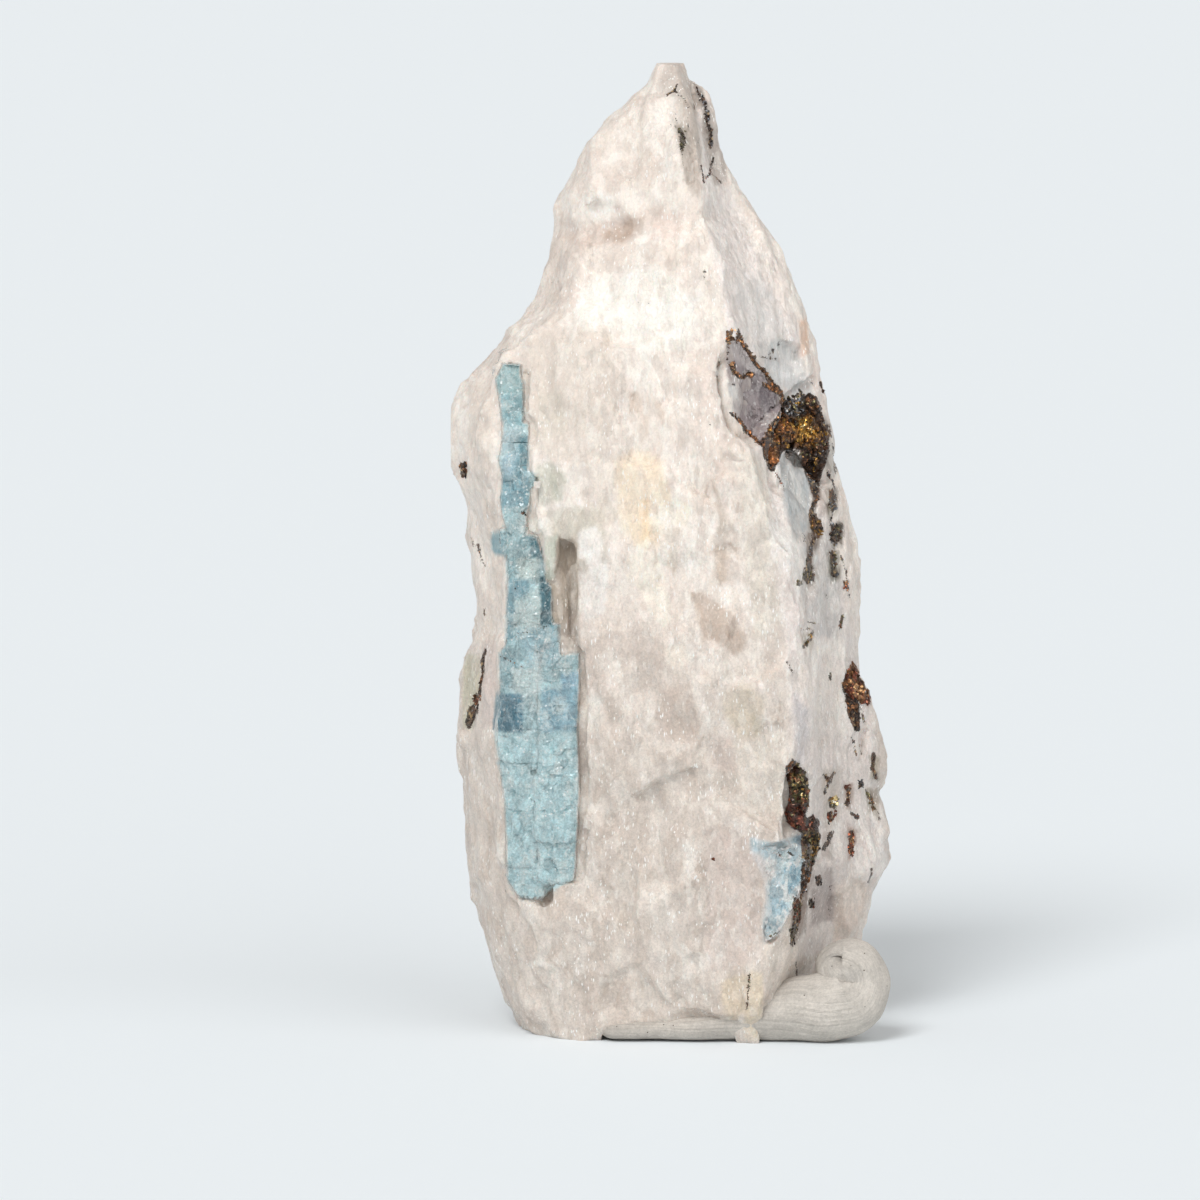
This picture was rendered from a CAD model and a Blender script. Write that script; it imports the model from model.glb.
# Looks of the aquamarine specimen, built over its CAD solids: the rock broken into cleavage
# blocks, the blue prisms, the smoky window, the mica scales and the roll of putty.
# Places are in millimetres in the part's own frame. Outlines of colours and grains are in pixels
# of the 1200 x 1200 picture, and are put on the rock along the camera's lines of sight.
import itertools
import math
import random

import bpy
import numpy as np
from mathutils import Matrix, Vector, bvhtree, noise


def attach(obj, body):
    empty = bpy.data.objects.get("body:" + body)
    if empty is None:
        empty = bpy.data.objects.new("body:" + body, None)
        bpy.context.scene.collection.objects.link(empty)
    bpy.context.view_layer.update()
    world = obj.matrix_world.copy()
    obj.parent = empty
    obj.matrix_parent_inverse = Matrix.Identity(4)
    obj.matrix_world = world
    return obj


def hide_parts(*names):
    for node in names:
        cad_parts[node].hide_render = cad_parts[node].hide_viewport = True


mm = 0.001
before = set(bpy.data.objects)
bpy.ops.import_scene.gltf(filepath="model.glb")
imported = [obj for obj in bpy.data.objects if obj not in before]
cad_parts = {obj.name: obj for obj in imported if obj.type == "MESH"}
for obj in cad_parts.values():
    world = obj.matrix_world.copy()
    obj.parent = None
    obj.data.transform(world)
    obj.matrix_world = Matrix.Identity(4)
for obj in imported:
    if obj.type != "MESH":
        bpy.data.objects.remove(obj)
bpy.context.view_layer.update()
print("frame loaded")

picture = {
    "target": (-4.12, 0.0, 25.2),  # the point in the middle of the picture
    "distance": 600.0,
    "elevation": 7.5,
    "lens": 306.0,
    "sensor": 36.0,
    "pixels": 1200,
}
tilt = math.radians(picture["elevation"])
focal = picture["lens"] / picture["sensor"] * picture["pixels"]
sightLine = np.array((0.0, math.cos(tilt), -math.sin(tilt)))
pictureUp = np.array((0.0, math.sin(tilt), math.cos(tilt)))
eye = np.array(picture["target"]) - sightLine * picture["distance"]
middle = picture["pixels"] / 2


def pixelsOf(points):
    # Where points in mm are in the picture.
    away = points - eye
    depth = away @ sightLine
    return middle + focal * away[:, 0] / depth, middle - focal * (away @ pictureUp) / depth


def seenAt(u, v, tree):
    # The point in mm and the normal of what the picture shows at a pixel.
    ray = sightLine * focal + pictureUp * (middle - v) + np.array((1.0, 0.0, 0.0)) * (u - middle)
    place, normal, _, _ = tree.ray_cast(Vector(eye), Vector(ray).normalized())
    return place, normal


def linear(colour):
    # Linear light values of a colour given as 0 to 255.
    part = np.asarray(colour, float) / 255.0
    return np.where(part <= 0.04045, part / 12.92, ((part + 0.055) / 1.055) ** 2.4)


# Tools for meshes.


def onlyThis(piece):
    bpy.ops.object.select_all(action="DESELECT")
    piece.select_set(True)
    bpy.context.view_layer.objects.active = piece


def copyOfNode(nodeName, pieceName):
    # A copy of a CAD node with its loose triangles merged.
    piece = bpy.data.objects.new(pieceName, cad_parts[nodeName].data.copy())
    piece.data.name = pieceName
    piece.data.materials.clear()
    bpy.context.scene.collection.objects.link(piece)
    onlyThis(piece)
    bpy.ops.object.mode_set(mode="EDIT")
    bpy.ops.mesh.select_all(action="SELECT")
    bpy.ops.mesh.remove_doubles(threshold=0.000001)
    bpy.ops.object.mode_set(mode="OBJECT")
    return piece


def applied(piece, kind, **settings):
    # Adds a modifier, sets it and applies it.
    onlyThis(piece)
    modifier = piece.modifiers.new(kind.lower(), kind)
    for name, value in settings.items():
        setattr(modifier, name, value)
    bpy.ops.object.modifier_apply(modifier=modifier.name)


def remeshed(piece, voxel):
    applied(piece, "REMESH", mode="VOXEL", voxel_size=voxel * mm)


def thinned(piece, mostTriangles):
    piece.data.calc_loop_triangles()
    count = len(piece.data.loop_triangles)
    if count > mostTriangles:
        applied(piece, "DECIMATE", ratio=mostTriangles / count)


def placesOf(piece):
    # Vertex places in mm and vertex normals.
    count = len(piece.data.vertices)
    places, normals = np.empty(count * 3), np.empty(count * 3)
    piece.data.vertices.foreach_get("co", places)
    piece.data.vertex_normals.foreach_get("vector", normals)
    return places.reshape(-1, 3) / mm, normals.reshape(-1, 3)


def movePlaces(piece, places):
    piece.data.vertices.foreach_set("co", (places * mm).ravel())
    piece.data.update()


def hashed(cells, seed, count):
    # Random numbers from 0 to 1 for cells given by three whole numbers.
    x, y, z = (cells[:, n].astype(np.uint64) for n in range(3))
    mix = x * np.uint64(0x9E3779B97F4A7C15) ^ y * np.uint64(0xC2B2AE3D27D4EB4F)
    mix ^= z * np.uint64(0x165667B19E3779F9) ^ np.uint64(seed * 7919 + 13)
    results = []
    for _ in range(count):
        mix = (mix ^ (mix >> np.uint64(29))) * np.uint64(0xBF58476D1CE4E5B9)
        mix ^= mix >> np.uint64(32)
        results.append((mix >> np.uint64(11)).astype(float) / 2.0**53)
    return results


def softNoise(places, size, seed=0):
    # Smooth noise from -1 to 1 with lumps of about this size in mm.
    spots = places / np.asarray(size, float) + 100.0
    cells = np.floor(spots).astype(np.int64)
    part = spots - cells
    part = part * part * (3 - 2 * part)
    total = np.zeros(len(places))
    for corner in itertools.product((0, 1), repeat=3):
        share = np.prod(np.where(corner, part, 1 - part), axis=1)
        total += share * hashed(cells + corner, seed, 1)[0]
    return total * 2 - 1


def grains(places, size, seed, warp=0.25):
    # Random grains of about this size (three values in mm): five random numbers for the grain
    # that each place is in, where in the grain it is, and how far from the grain's border.
    size = np.asarray(size, float)
    bend = [softNoise(places, size * 1.3, seed + n) for n in range(3)]
    spots = places / size + warp * np.stack(bend, axis=1) + 200.0
    cells = np.floor(spots).astype(np.int64)
    nearest, second = np.full(len(places), 9.0), np.full(len(places), 9.0)
    owner, offset = cells.copy(), np.zeros_like(spots)
    for step in itertools.product((-1, 0, 1), repeat=3):
        other = cells + step
        away = spots - other - np.stack(hashed(other, seed, 3), axis=1)
        far = (away ** 2).sum(1)
        closer = far < nearest
        second = np.where(closer, nearest, np.minimum(second, far))
        nearest = np.where(closer, far, nearest)
        owner[closer], offset[closer] = other[closer], away[closer]
    return hashed(owner, seed + 1, 5), offset, np.sqrt(second) - np.sqrt(nearest)


def facets(places, layers):
    # Steps and leaning faces of broken grains, in mm. Each layer: size, step, lean, seed.
    total = np.zeros(len(places))
    for size, step, lean, seed in layers:
        dice, offset, _ = grains(places, size, seed)
        slope = sum((dice[n + 1] - 0.5) * offset[:, n] for n in range(3))
        total += (dice[0] - 0.5) * 2 * step + slope * 2 * lean
    return total


def treeOf(pieces):
    # One search tree, in mm, of several pieces.
    points, faces = [], []
    for piece in pieces:
        start = len(points)
        places, _ = placesOf(piece)
        points += places.tolist()
        faces += [[start + i for i in face.vertices] for face in piece.data.polygons]
    return bvhtree.BVHTree.FromPolygons(points, faces)


def insideness(u, v, outline):
    # Distance in pixels to an outline, above zero inside it.
    corners = np.array(outline, float)
    nearest = np.full(u.shape, 1e9)
    inside = np.zeros(u.shape, bool)
    for (ax, ay), (bx, by) in zip(corners, np.roll(corners, -1, axis=0)):
        dx, dy = bx - ax, by - ay
        t = np.clip(((u - ax) * dx + (v - ay) * dy) / (dx * dx + dy * dy), 0, 1)
        nearest = np.minimum(nearest, np.hypot(u - ax - t * dx, v - ay - t * dy))
        if ay != by:
            crosses = ((ay > v) != (by > v)) & (u < (bx - ax) * (v - ay) / (by - ay) + ax)
            inside ^= crosses
    return np.where(inside, nearest, -nearest)


def laidOver(colours, share, colour):
    # Mixes a colour into the vertices' colours by each one's share.
    share = share[:, None]
    return colours * (1 - share) + linear(colour) * share


def paintAreas(colours, places, normals, areas, wobble, within=None):
    # Lays each area's colour over the vertices that the picture sees.
    toEye = eye - places
    seen = np.flatnonzero((toEye * normals).sum(1) > 0.03 * np.linalg.norm(toEye, axis=1))
    spots = places[seen]
    u, v = pixelsOf(spots)
    _, jag, _ = grains(spots, (0.5, 0.5, 0.9), 77)
    u = u + wobble * (softNoise(spots, 1.6, 5) + 0.7 * jag[:, 0] + 0.4 * softNoise(spots, 0.4, 9))
    v = v + wobble * (softNoise(spots, 1.6, 25) + 1.2 * jag[:, 2] + 0.4 * softNoise(spots, 0.4, 29))
    inside = 1.0 if within is None else np.clip(insideness(u, v, within) / 2.0 + 0.5, 0, 1)
    for outline, colour, strength, softness in areas:
        share = np.clip(insideness(u, v, outline) / softness + 0.5, 0, 1)
        share = strength * inside * share * share * (3 - 2 * share)
        colours[seen] = laidOver(colours[seen], share, colour)


def storeColours(piece, colours, mica=None):
    layer = piece.data.color_attributes.new("paint", "FLOAT_COLOR", "POINT")
    values = np.ones((len(colours), 4), np.float32)
    values[:, :3] = colours
    layer.data.foreach_set("color", values.ravel())
    if mica is not None:
        layer = piece.data.attributes.new("mica", "FLOAT", "POINT")
        layer.data.foreach_set("value", mica.astype(np.float32))


def finished(piece, nodeName, material, smoothAngle=None):
    # Puts a piece on the part in place of its CAD node.
    piece.data.materials.append(material)
    onlyThis(piece)
    if smoothAngle is None:
        bpy.ops.object.shade_flat()
    else:
        bpy.ops.object.shade_smooth_by_angle(angle=math.radians(smoothAngle))
    if nodeName:
        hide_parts(nodeName)
    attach(piece, "root")


# Materials.


def newMaterial(name, **sockets):
    # A Principled material with constant values on its sockets.
    material = bpy.data.materials.new(name)
    material.use_nodes = True
    shader = material.node_tree.nodes["Principled BSDF"]
    for socket, value in sockets.items():
        shader.inputs[socket.replace("_", " ")].default_value = value
    return material, material.node_tree, shader


def addNode(tree, kind, inputs=None, **settings):
    node = tree.nodes.new(kind)
    for name, value in settings.items():
        setattr(node, name, value)
    for socket, value in (inputs or {}).items():
        if isinstance(value, bpy.types.NodeSocket):
            tree.links.new(value, node.inputs[socket])
        else:
            node.inputs[socket].default_value = value
    return node


def calculate(tree, operation, *values):
    return addNode(tree, "ShaderNodeMath", dict(enumerate(values)), operation=operation).outputs[0]


def inMillimetres(tree, stretch=(1.0, 1.0, 1.0)):
    # Object coordinates in mm, stretched for long grains.
    coordinates = addNode(tree, "ShaderNodeTexCoord")
    scale = tuple(1000.0 * s for s in stretch)
    mapping = addNode(tree, "ShaderNodeMapping", {"Vector": coordinates.outputs["Object"], "Scale": scale})
    return mapping.outputs["Vector"]


def noiseAt(tree, vector, scale, detail=3.0, roughness=0.55):
    inputs = {"Vector": vector, "Scale": scale, "Detail": detail, "Roughness": roughness}
    return addNode(tree, "ShaderNodeTexNoise", inputs).outputs["Fac"]


def grainNodes(tree, vector, size, bend=0.0):
    # Broken grains: a random number per grain, the height of its leaning face, and the
    # distance from its middle, for grains of this size.
    if bend:
        warp = addNode(tree, "ShaderNodeTexNoise", {"Vector": vector, "Scale": 0.6 / size, "Detail": 2.0})
        inputs = {0: warp.outputs["Color"], "Scale": bend * size}
        warp = addNode(tree, "ShaderNodeVectorMath", inputs, operation="SCALE")
        vector = addNode(tree, "ShaderNodeVectorMath", {0: vector, 1: warp.outputs[0]}).outputs[0]
    cell = addNode(tree, "ShaderNodeTexVoronoi", {"Vector": vector, "Scale": 1.0 / size})
    inputs = {0: vector, 1: cell.outputs["Position"]}
    away = addNode(tree, "ShaderNodeVectorMath", inputs, operation="SUBTRACT")
    inputs = {0: cell.outputs["Color"], 1: (0.5, 0.5, 0.5)}
    lean = addNode(tree, "ShaderNodeVectorMath", inputs, operation="SUBTRACT")
    inputs = {0: away.outputs[0], 1: lean.outputs[0]}
    height = addNode(tree, "ShaderNodeVectorMath", inputs, operation="DOT_PRODUCT").outputs["Value"]
    number = addNode(tree, "ShaderNodeSeparateColor", {"Color": cell.outputs["Color"]}).outputs[0]
    return number, height, cell.outputs["Distance"]


def ramp(tree, value, low, high, toLow=0.0, toHigh=1.0):
    inputs = {"Value": value, "From Min": low, "From Max": high, "To Min": toLow, "To Max": toHigh}
    return addNode(tree, "ShaderNodeMapRange", inputs).outputs["Result"]


def mixed(tree, share, first, second, blend="MIX"):
    node = addNode(tree, "ShaderNodeMix", data_type="RGBA", blend_type=blend)
    for socket, value in ((node.inputs[0], share), (node.inputs[6], first), (node.inputs[7], second)):
        if isinstance(value, bpy.types.NodeSocket):
            tree.links.new(value, socket)
        else:
            socket.default_value = value
    return node.outputs[2]


def painted(tree):
    return addNode(tree, "ShaderNodeAttribute", attribute_name="paint").outputs["Color"]


def rgba(colour):
    return (*linear(colour), 1.0)


def bumped(tree, shader, layers):
    # Chains bump layers of (height, strength, distance in mm).
    normal = None
    for height, strength, distance in layers:
        inputs = {"Height": height, "Strength": strength, "Distance": distance * mm}
        if normal:
            inputs["Normal"] = normal
        normal = addNode(tree, "ShaderNodeBump", inputs).outputs["Normal"]
    tree.links.new(normal, shader.inputs["Normal"])


def shaded(tree, colour, value):
    # A colour made lighter or darker by a number round 1.
    grey = addNode(tree, "ShaderNodeCombineColor", {0: value, 1: value, 2: value}).outputs[0]
    return mixed(tree, 1.0, colour, grey, "MULTIPLY")


micaInStone = {
    "grain": 0.15,  # size in mm
    "brown": ((38, 29, 24), (106, 74, 50)),  # darkest and lightest grains
    "grey": ((52, 50, 48), (108, 96, 80)),
    "glint": (186, 156, 112),
}


def withMica(tree, colour, plain):
    # Lays dark mica over the colour where the surface holds it.
    share = addNode(tree, "ShaderNodeAttribute", attribute_name="mica").outputs["Fac"]
    fine = calculate(tree, "SUBTRACT", noiseAt(tree, plain, 2.2, 6.0, 0.75), 0.5)
    fine = calculate(tree, "MULTIPLY", fine, 2.3)
    mask = ramp(tree, calculate(tree, "ADD", share, fine), 0.52, 0.6, 0.0, 0.96)
    cell, _, _ = grainNodes(tree, plain, micaInStone["grain"], 0.8)
    brown, grey = ([rgba(tint) for tint in micaInStone[name]] for name in ("brown", "grey"))
    dark = mixed(tree, ramp(tree, cell, 0.2, 0.75), *brown)
    patch = ramp(tree, noiseAt(tree, plain, 0.9, 4.0), 0.45, 0.6)
    dark = mixed(tree, patch, dark, mixed(tree, cell, *grey))
    dark = mixed(tree, ramp(tree, cell, 0.9, 0.94, 0.0, 0.8), dark, rgba(micaInStone["glint"]))
    return mixed(tree, mask, colour, dark)


quartzLook = {
    "roughness": 0.38,
    "softLight": 0.35,
    "softReach": (0.5, 0.36, 0.3),
    "chips": 0.34,  # size of the middle grains in mm
    "sugar": 0.15,
    "white": (255, 252, 248),
    "clear": (214, 202, 194),
    "blocks": ((0.95, 0.3), (0.4, 0.24)),  # size and strength of the crisp grains
    "whiteBlock": (253, 248, 240),
    "clearBlock": (208, 196, 186),
    "pit": (150, 134, 120),
}


def makeQuartz():
    material, tree, shader = newMaterial("milky quartz", Roughness=quartzLook["roughness"], IOR=1.54)
    shader.inputs["Subsurface Weight"].default_value = quartzLook["softLight"]
    shader.inputs["Subsurface Radius"].default_value = quartzLook["softReach"]
    shader.inputs["Subsurface Scale"].default_value = mm
    plain, long = inMillimetres(tree), inMillimetres(tree, (1.0, 1.0, 0.45))
    chip, chipHeight, _ = grainNodes(tree, long, quartzLook["chips"], 1.2)
    sugar, sugarHeight, _ = grainNodes(tree, long, quartzLook["sugar"], 0.8)
    # Crisp white and clear grains of two sizes.
    colour = painted(tree)
    patches = ramp(tree, noiseAt(tree, plain, 0.3, 3.0), 0.42, 0.58, 0.35, 1.0)
    for size, strength in quartzLook["blocks"]:
        block, _, _ = grainNodes(tree, long, size, 1.4)
        share = calculate(tree, "MULTIPLY", ramp(tree, block, 0.76, 0.78, 0.0, strength), patches)
        colour = mixed(tree, share, colour, rgba(quartzLook["whiteBlock"]))
        share = calculate(tree, "MULTIPLY", ramp(tree, block, 0.24, 0.22, 0.0, strength), patches)
        colour = mixed(tree, share, colour, rgba(quartzLook["clearBlock"]))
    colour = shaded(tree, colour, ramp(tree, chip, 0.0, 1.0, 0.94, 1.04))
    colour = shaded(tree, colour, ramp(tree, sugar, 0.0, 1.0, 0.94, 1.04))
    clear = ramp(tree, noiseAt(tree, long, 1.1, 5.0, 0.62), 0.54, 0.6, 0.0, 0.26)
    colour = mixed(tree, clear, colour, rgba(quartzLook["clear"]))
    # Fine grain, coarser towards the foot.
    height = addNode(tree, "ShaderNodeSeparateXYZ", {"Vector": plain}).outputs["Z"]
    low = ramp(tree, height, 20.0, 36.0, 1.0, 0.55)
    fine = noiseAt(tree, plain, 7.5, 5.0, 0.85)
    grit = ramp(tree, fine, 0.38, 0.62, 0.86, 1.12)
    colour = mixed(tree, low, colour, shaded(tree, colour, grit))
    pits = calculate(tree, "MULTIPLY", ramp(tree, fine, 0.36, 0.3, 0.0, 0.3), low)
    colour = mixed(tree, pits, colour, rgba(quartzLook["pit"]))
    # Short white strokes, thicker in some places than in others.
    thin = inMillimetres(tree, (1.7, 1.7, 0.5))
    stroke, _, strokeFar = grainNodes(tree, thin, 0.17, 1.6)
    strokes = calculate(tree, "MULTIPLY", ramp(tree, stroke, 0.82, 0.85), ramp(tree, strokeFar, 0.45, 0.3))
    places = ramp(tree, noiseAt(tree, plain, 0.45, 3.0), 0.42, 0.58, 0.15, 0.95)
    colour = mixed(tree, calculate(tree, "MULTIPLY", strokes, places), colour, rgba(quartzLook["white"]))
    tree.links.new(withMica(tree, colour, plain), shader.inputs["Base Color"])
    rough = ramp(tree, noiseAt(tree, plain, 0.35, 3.0), 0.4, 0.62, 0.15, 1.0)
    bumped(tree, shader, (
        (chipHeight, 0.8, 0.5),
        (calculate(tree, "MULTIPLY", sugarHeight, rough), 1.0, 0.5),
        (calculate(tree, "MULTIPLY", fine, low), 0.5, 0.16),
    ))
    return material


berylLook = {
    "roughness": 0.2,
    "seeThrough": 0.22,
    "softLight": 0.3,
    "softReach": (0.5, 0.8, 0.9),
    "veil": (222, 231, 228),  # cloudy veils, flecks, healed cracks and white grains
    "fleck": (244, 247, 245),
    "crack": (226, 235, 232),
    "white": (236, 241, 237),
}


def makeBeryl():
    material, tree, shader = newMaterial("blue beryl", Roughness=berylLook["roughness"], IOR=1.57)
    shader.inputs["Transmission Weight"].default_value = berylLook["seeThrough"]
    shader.inputs["Subsurface Weight"].default_value = berylLook["softLight"]
    shader.inputs["Subsurface Radius"].default_value = berylLook["softReach"]
    shader.inputs["Subsurface Scale"].default_value = mm
    plain, long = inMillimetres(tree), inMillimetres(tree, (1.0, 1.0, 0.7))
    chip, chipHeight, _ = grainNodes(tree, long, 0.5, 1.2)
    small, smallHeight, smallFar = grainNodes(tree, plain, 0.18, 0.8)
    colour = shaded(tree, painted(tree), ramp(tree, chip, 0.0, 1.0, 0.86, 1.14))
    colour = shaded(tree, colour, ramp(tree, small, 0.0, 1.0, 0.95, 1.05))
    cloud = ramp(tree, noiseAt(tree, long, 1.0, 6.0, 0.7), 0.52, 0.64, 0.0, 0.6)
    colour = mixed(tree, cloud, colour, rgba(berylLook["veil"]))
    places = ramp(tree, noiseAt(tree, plain, 1.1, 3.0), 0.45, 0.6, 0.0, 0.9)
    fleck = calculate(tree, "MULTIPLY", ramp(tree, small, 0.8, 0.86), ramp(tree, smallFar, 0.5, 0.2))
    colour = mixed(tree, calculate(tree, "MULTIPLY", fleck, places), colour, rgba(berylLook["fleck"]))
    crack = addNode(tree, "ShaderNodeTexVoronoi", {"Vector": long, "Scale": 1.5}, feature="DISTANCE_TO_EDGE")
    thin = calculate(tree, "MULTIPLY", ramp(tree, crack.outputs["Distance"], 0.04, 0.0, 0.0, 0.35),
                     ramp(tree, noiseAt(tree, plain, 1.6, 3.0), 0.4, 0.55))
    colour = mixed(tree, thin, colour, rgba(berylLook["crack"]))
    grit = ramp(tree, noiseAt(tree, plain, 7.0, 5.0, 0.85), 0.38, 0.62, 0.78, 1.2)
    colour = shaded(tree, colour, grit)
    white = calculate(tree, "MULTIPLY", ramp(tree, noiseAt(tree, long, 3.5, 6.0, 0.8), 0.56, 0.6, 0.0, 0.6),
                      ramp(tree, noiseAt(tree, plain, 0.7, 2.0), 0.42, 0.6))
    colour = mixed(tree, white, colour, rgba(berylLook["white"]))
    tree.links.new(withMica(tree, colour, plain), shader.inputs["Base Color"])
    bumped(tree, shader, ((chipHeight, 1.0, 0.6), (smallHeight, 0.8, 0.4)))
    return material


smokyLook = {
    "roughness": 0.22,
    "seeThrough": 0.2,
    "cloud": (206, 197, 196),
    "glint": (232, 228, 226),
}


def makeSmoky():
    material, tree, shader = newMaterial("smoky quartz", Roughness=smokyLook["roughness"], IOR=1.54)
    shader.inputs["Transmission Weight"].default_value = smokyLook["seeThrough"]
    plain = inMillimetres(tree)
    chip, chipHeight, _ = grainNodes(tree, plain, 0.5, 1.2)
    small, smallHeight, _ = grainNodes(tree, plain, 0.16, 0.8)
    colour = shaded(tree, painted(tree), ramp(tree, chip, 0.0, 1.0, 0.9, 1.1))
    cloud = ramp(tree, noiseAt(tree, plain, 1.5, 6.0, 0.7), 0.5, 0.68, 0.0, 0.5)
    colour = mixed(tree, cloud, colour, rgba(smokyLook["cloud"]))
    colour = mixed(tree, ramp(tree, small, 0.92, 0.96, 0.0, 0.4), colour, rgba(smokyLook["glint"]))
    tree.links.new(withMica(tree, colour, plain), shader.inputs["Base Color"])
    bumped(tree, shader, ((chipHeight, 1.0, 0.5), (smallHeight, 1.0, 0.4)))
    return material


def makeMica():
    material, tree, shader = newMaterial("mica scales", Roughness=0.3, Metallic=0.35)
    plain = inMillimetres(tree)
    small, smallHeight, _ = grainNodes(tree, plain, 0.13, 0.6)
    colour = shaded(tree, painted(tree), ramp(tree, small, 0.0, 0.8, 0.55, 1.35))
    patch = noiseAt(tree, plain, 2.5, 5.0, 0.65)
    colour = shaded(tree, colour, ramp(tree, patch, 0.35, 0.65, 0.55, 1.4))
    colour = shaded(tree, colour, ramp(tree, small, 0.84, 0.92, 1.0, 3.2))
    tree.links.new(colour, shader.inputs["Base Color"])
    bumped(tree, shader, ((smallHeight, 1.0, 1.1), (noiseAt(tree, plain, 9.0, 3.0), 0.4, 0.05)))
    return material


puttySurface = {
    "roughness": 0.78,
    "softLight": 0.12,
    "plain": (212, 205, 196),
    "streak": (152, 144, 135),
    "speck": (90, 76, 66),
}


def makePutty():
    material, tree, shader = newMaterial("putty", Roughness=puttySurface["roughness"])
    shader.inputs["Subsurface Weight"].default_value = puttySurface["softLight"]
    shader.inputs["Subsurface Radius"].default_value = (1.0, 0.9, 0.8)
    shader.inputs["Subsurface Scale"].default_value = 0.5 * mm
    coordinates = addNode(tree, "ShaderNodeTexCoord")
    plain = inMillimetres(tree)
    # Streaks and hairlines that run along the roll.
    inputs = {"Vector": coordinates.outputs["UV"], "Scale": (30.0, 2.6, 1.0)}
    streak = noiseAt(tree, addNode(tree, "ShaderNodeMapping", inputs).outputs["Vector"], 1.0, 6.0, 0.7)
    inputs = {"Vector": coordinates.outputs["UV"], "Scale": (110.0, 9.0, 1.0)}
    hair = noiseAt(tree, addNode(tree, "ShaderNodeMapping", inputs).outputs["Vector"], 1.0, 4.0, 0.7)
    dark = ramp(tree, streak, 0.46, 0.74, 0.0, 0.36)
    colour = mixed(tree, dark, rgba(puttySurface["plain"]), rgba(puttySurface["streak"]))
    colour = shaded(tree, colour, ramp(tree, noiseAt(tree, plain, 0.5, 5.0, 0.7), 0.35, 0.65, 0.84, 1.08))
    colour = shaded(tree, colour, ramp(tree, hair, 0.36, 0.64, 0.93, 1.06))
    colour = shaded(tree, colour, ramp(tree, noiseAt(tree, plain, 6.0, 5.0, 0.85), 0.38, 0.62, 0.86, 1.1))
    dots = addNode(tree, "ShaderNodeTexVoronoi", {"Vector": plain, "Scale": 1.6}).outputs["Distance"]
    speck = ramp(tree, dots, 0.08, 0.05)
    colour = mixed(tree, speck, colour, rgba(puttySurface["speck"]))
    tree.links.new(colour, shader.inputs["Base Color"])
    dents = noiseAt(tree, plain, 3.0, 5.0, 0.7)
    bumped(tree, shader, ((streak, 0.8, 0.25), (hair, 0.5, 0.08), (dents, 0.6, 0.12)))
    return material


materials = {
    "quartz": makeQuartz(),
    "beryl": makeBeryl(),
    "smoky": makeSmoky(),
    "mica": makeMica(),
    "putty": makePutty(),
}
print("materials made")


# The rock.

rockLook = {
    "voxel": 0.185,
    "mostTriangles": 192000,
    # broken grains: size in mm, step, lean, seed
    "blades": (
        ((2.4, 2.4, 6.0), 0.16, 0.18, 3),
        ((1.2, 1.2, 3.0), 0.08, 0.14, 7),
        ((0.55, 0.55, 1.2), 0.045, 0.09, 12),
    ),
    "calmAbove": 40.0,  # above this height the blades are fainter
    "calmShare": 0.55,
    "plainHigh": (243, 234, 227),
    "plainLow": (220, 210, 202),
    "paintStrength": 1.06,
    "footShade": 0.92,
    "warmth": (1.022, 0.99, 0.955),
    "white": (251, 247, 242),
    "clear": (219, 208, 199),
    "backClear": (206, 195, 187),
    "wobble": 1.4,  # how far the areas' outlines wander, in pixels
    # painted grains: size in mm and seed
    "grains": (((1.5, 1.5, 3.4), 91), ((0.7, 0.7, 1.5), 92)),
    "grainStrength": 0.35,
    "rimStrength": 0.3,
    # how much the fillings grow along their normals, in mm
    "fillingGrows": 0.42,
    "prismFillingGrows": (0.55, 0.0, 0.55),
    # hollows of the solid that are filled with quartz under the crystal or the scales, and how
    # far back the filling stands, in mm
    "filled": {
        "aquamarine_main": (0.0, 0.62), "aquamarine_patch": (-0.2, 0.6), "smoky_quartz": (-0.1, 1.0),
        "mica_cluster_upper": (-0.3, 0.9), "mica_cluster_lower": (-0.2, 0.9), "mica_vein_middle": (-0.4, 0.5),
        "mica_vein_right": (-0.5, 0.4), "mica_edge_right": (-0.6, 0.2), "mica_streak_lower": (-0.3, 0.5),
        "mica_seam_left": (0.5, 0.35), "mica_grain_left": (0.5, 0.35), "mica_seam_tip": (0.0, 0.6),
        "mica_blade_tip": (-0.4, 0.45),
    },
    # low and high corner in mm of the block behind the square hollow
    "hollowFloor": ((-7.9, -6.7, 23.9), (-4.7, -3.4, 30.4)),
    "reach": (-12.85, 13.1, 56.85),  # the rock stays inside this far left, far right and top
    # the hidden side: how often it is evened, its broken faces and its larger patches of colour
    "backRounds": 160,
    "backRelief": 0.3,
    "backSinks": 0.15,
    "backBlades": (((4.6, 4.6, 7.0), 0.42, 0.2, 51), ((2.0, 2.0, 3.6), 0.16, 0.16, 52)),
    "backPatches": (((3.4, 3.4, 6.2), 61), ((1.7, 1.7, 3.0), 62)),
    # low and high corner in mm of round lumps: the lip before the putty and the hanging tab
    "added": (((-0.4, -7.3, 0.5), (4.7, -4.8, 4.6)), ((-7.5, -7.9, 27.2), (-6.6, -6.6, 31.0))),
}
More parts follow.
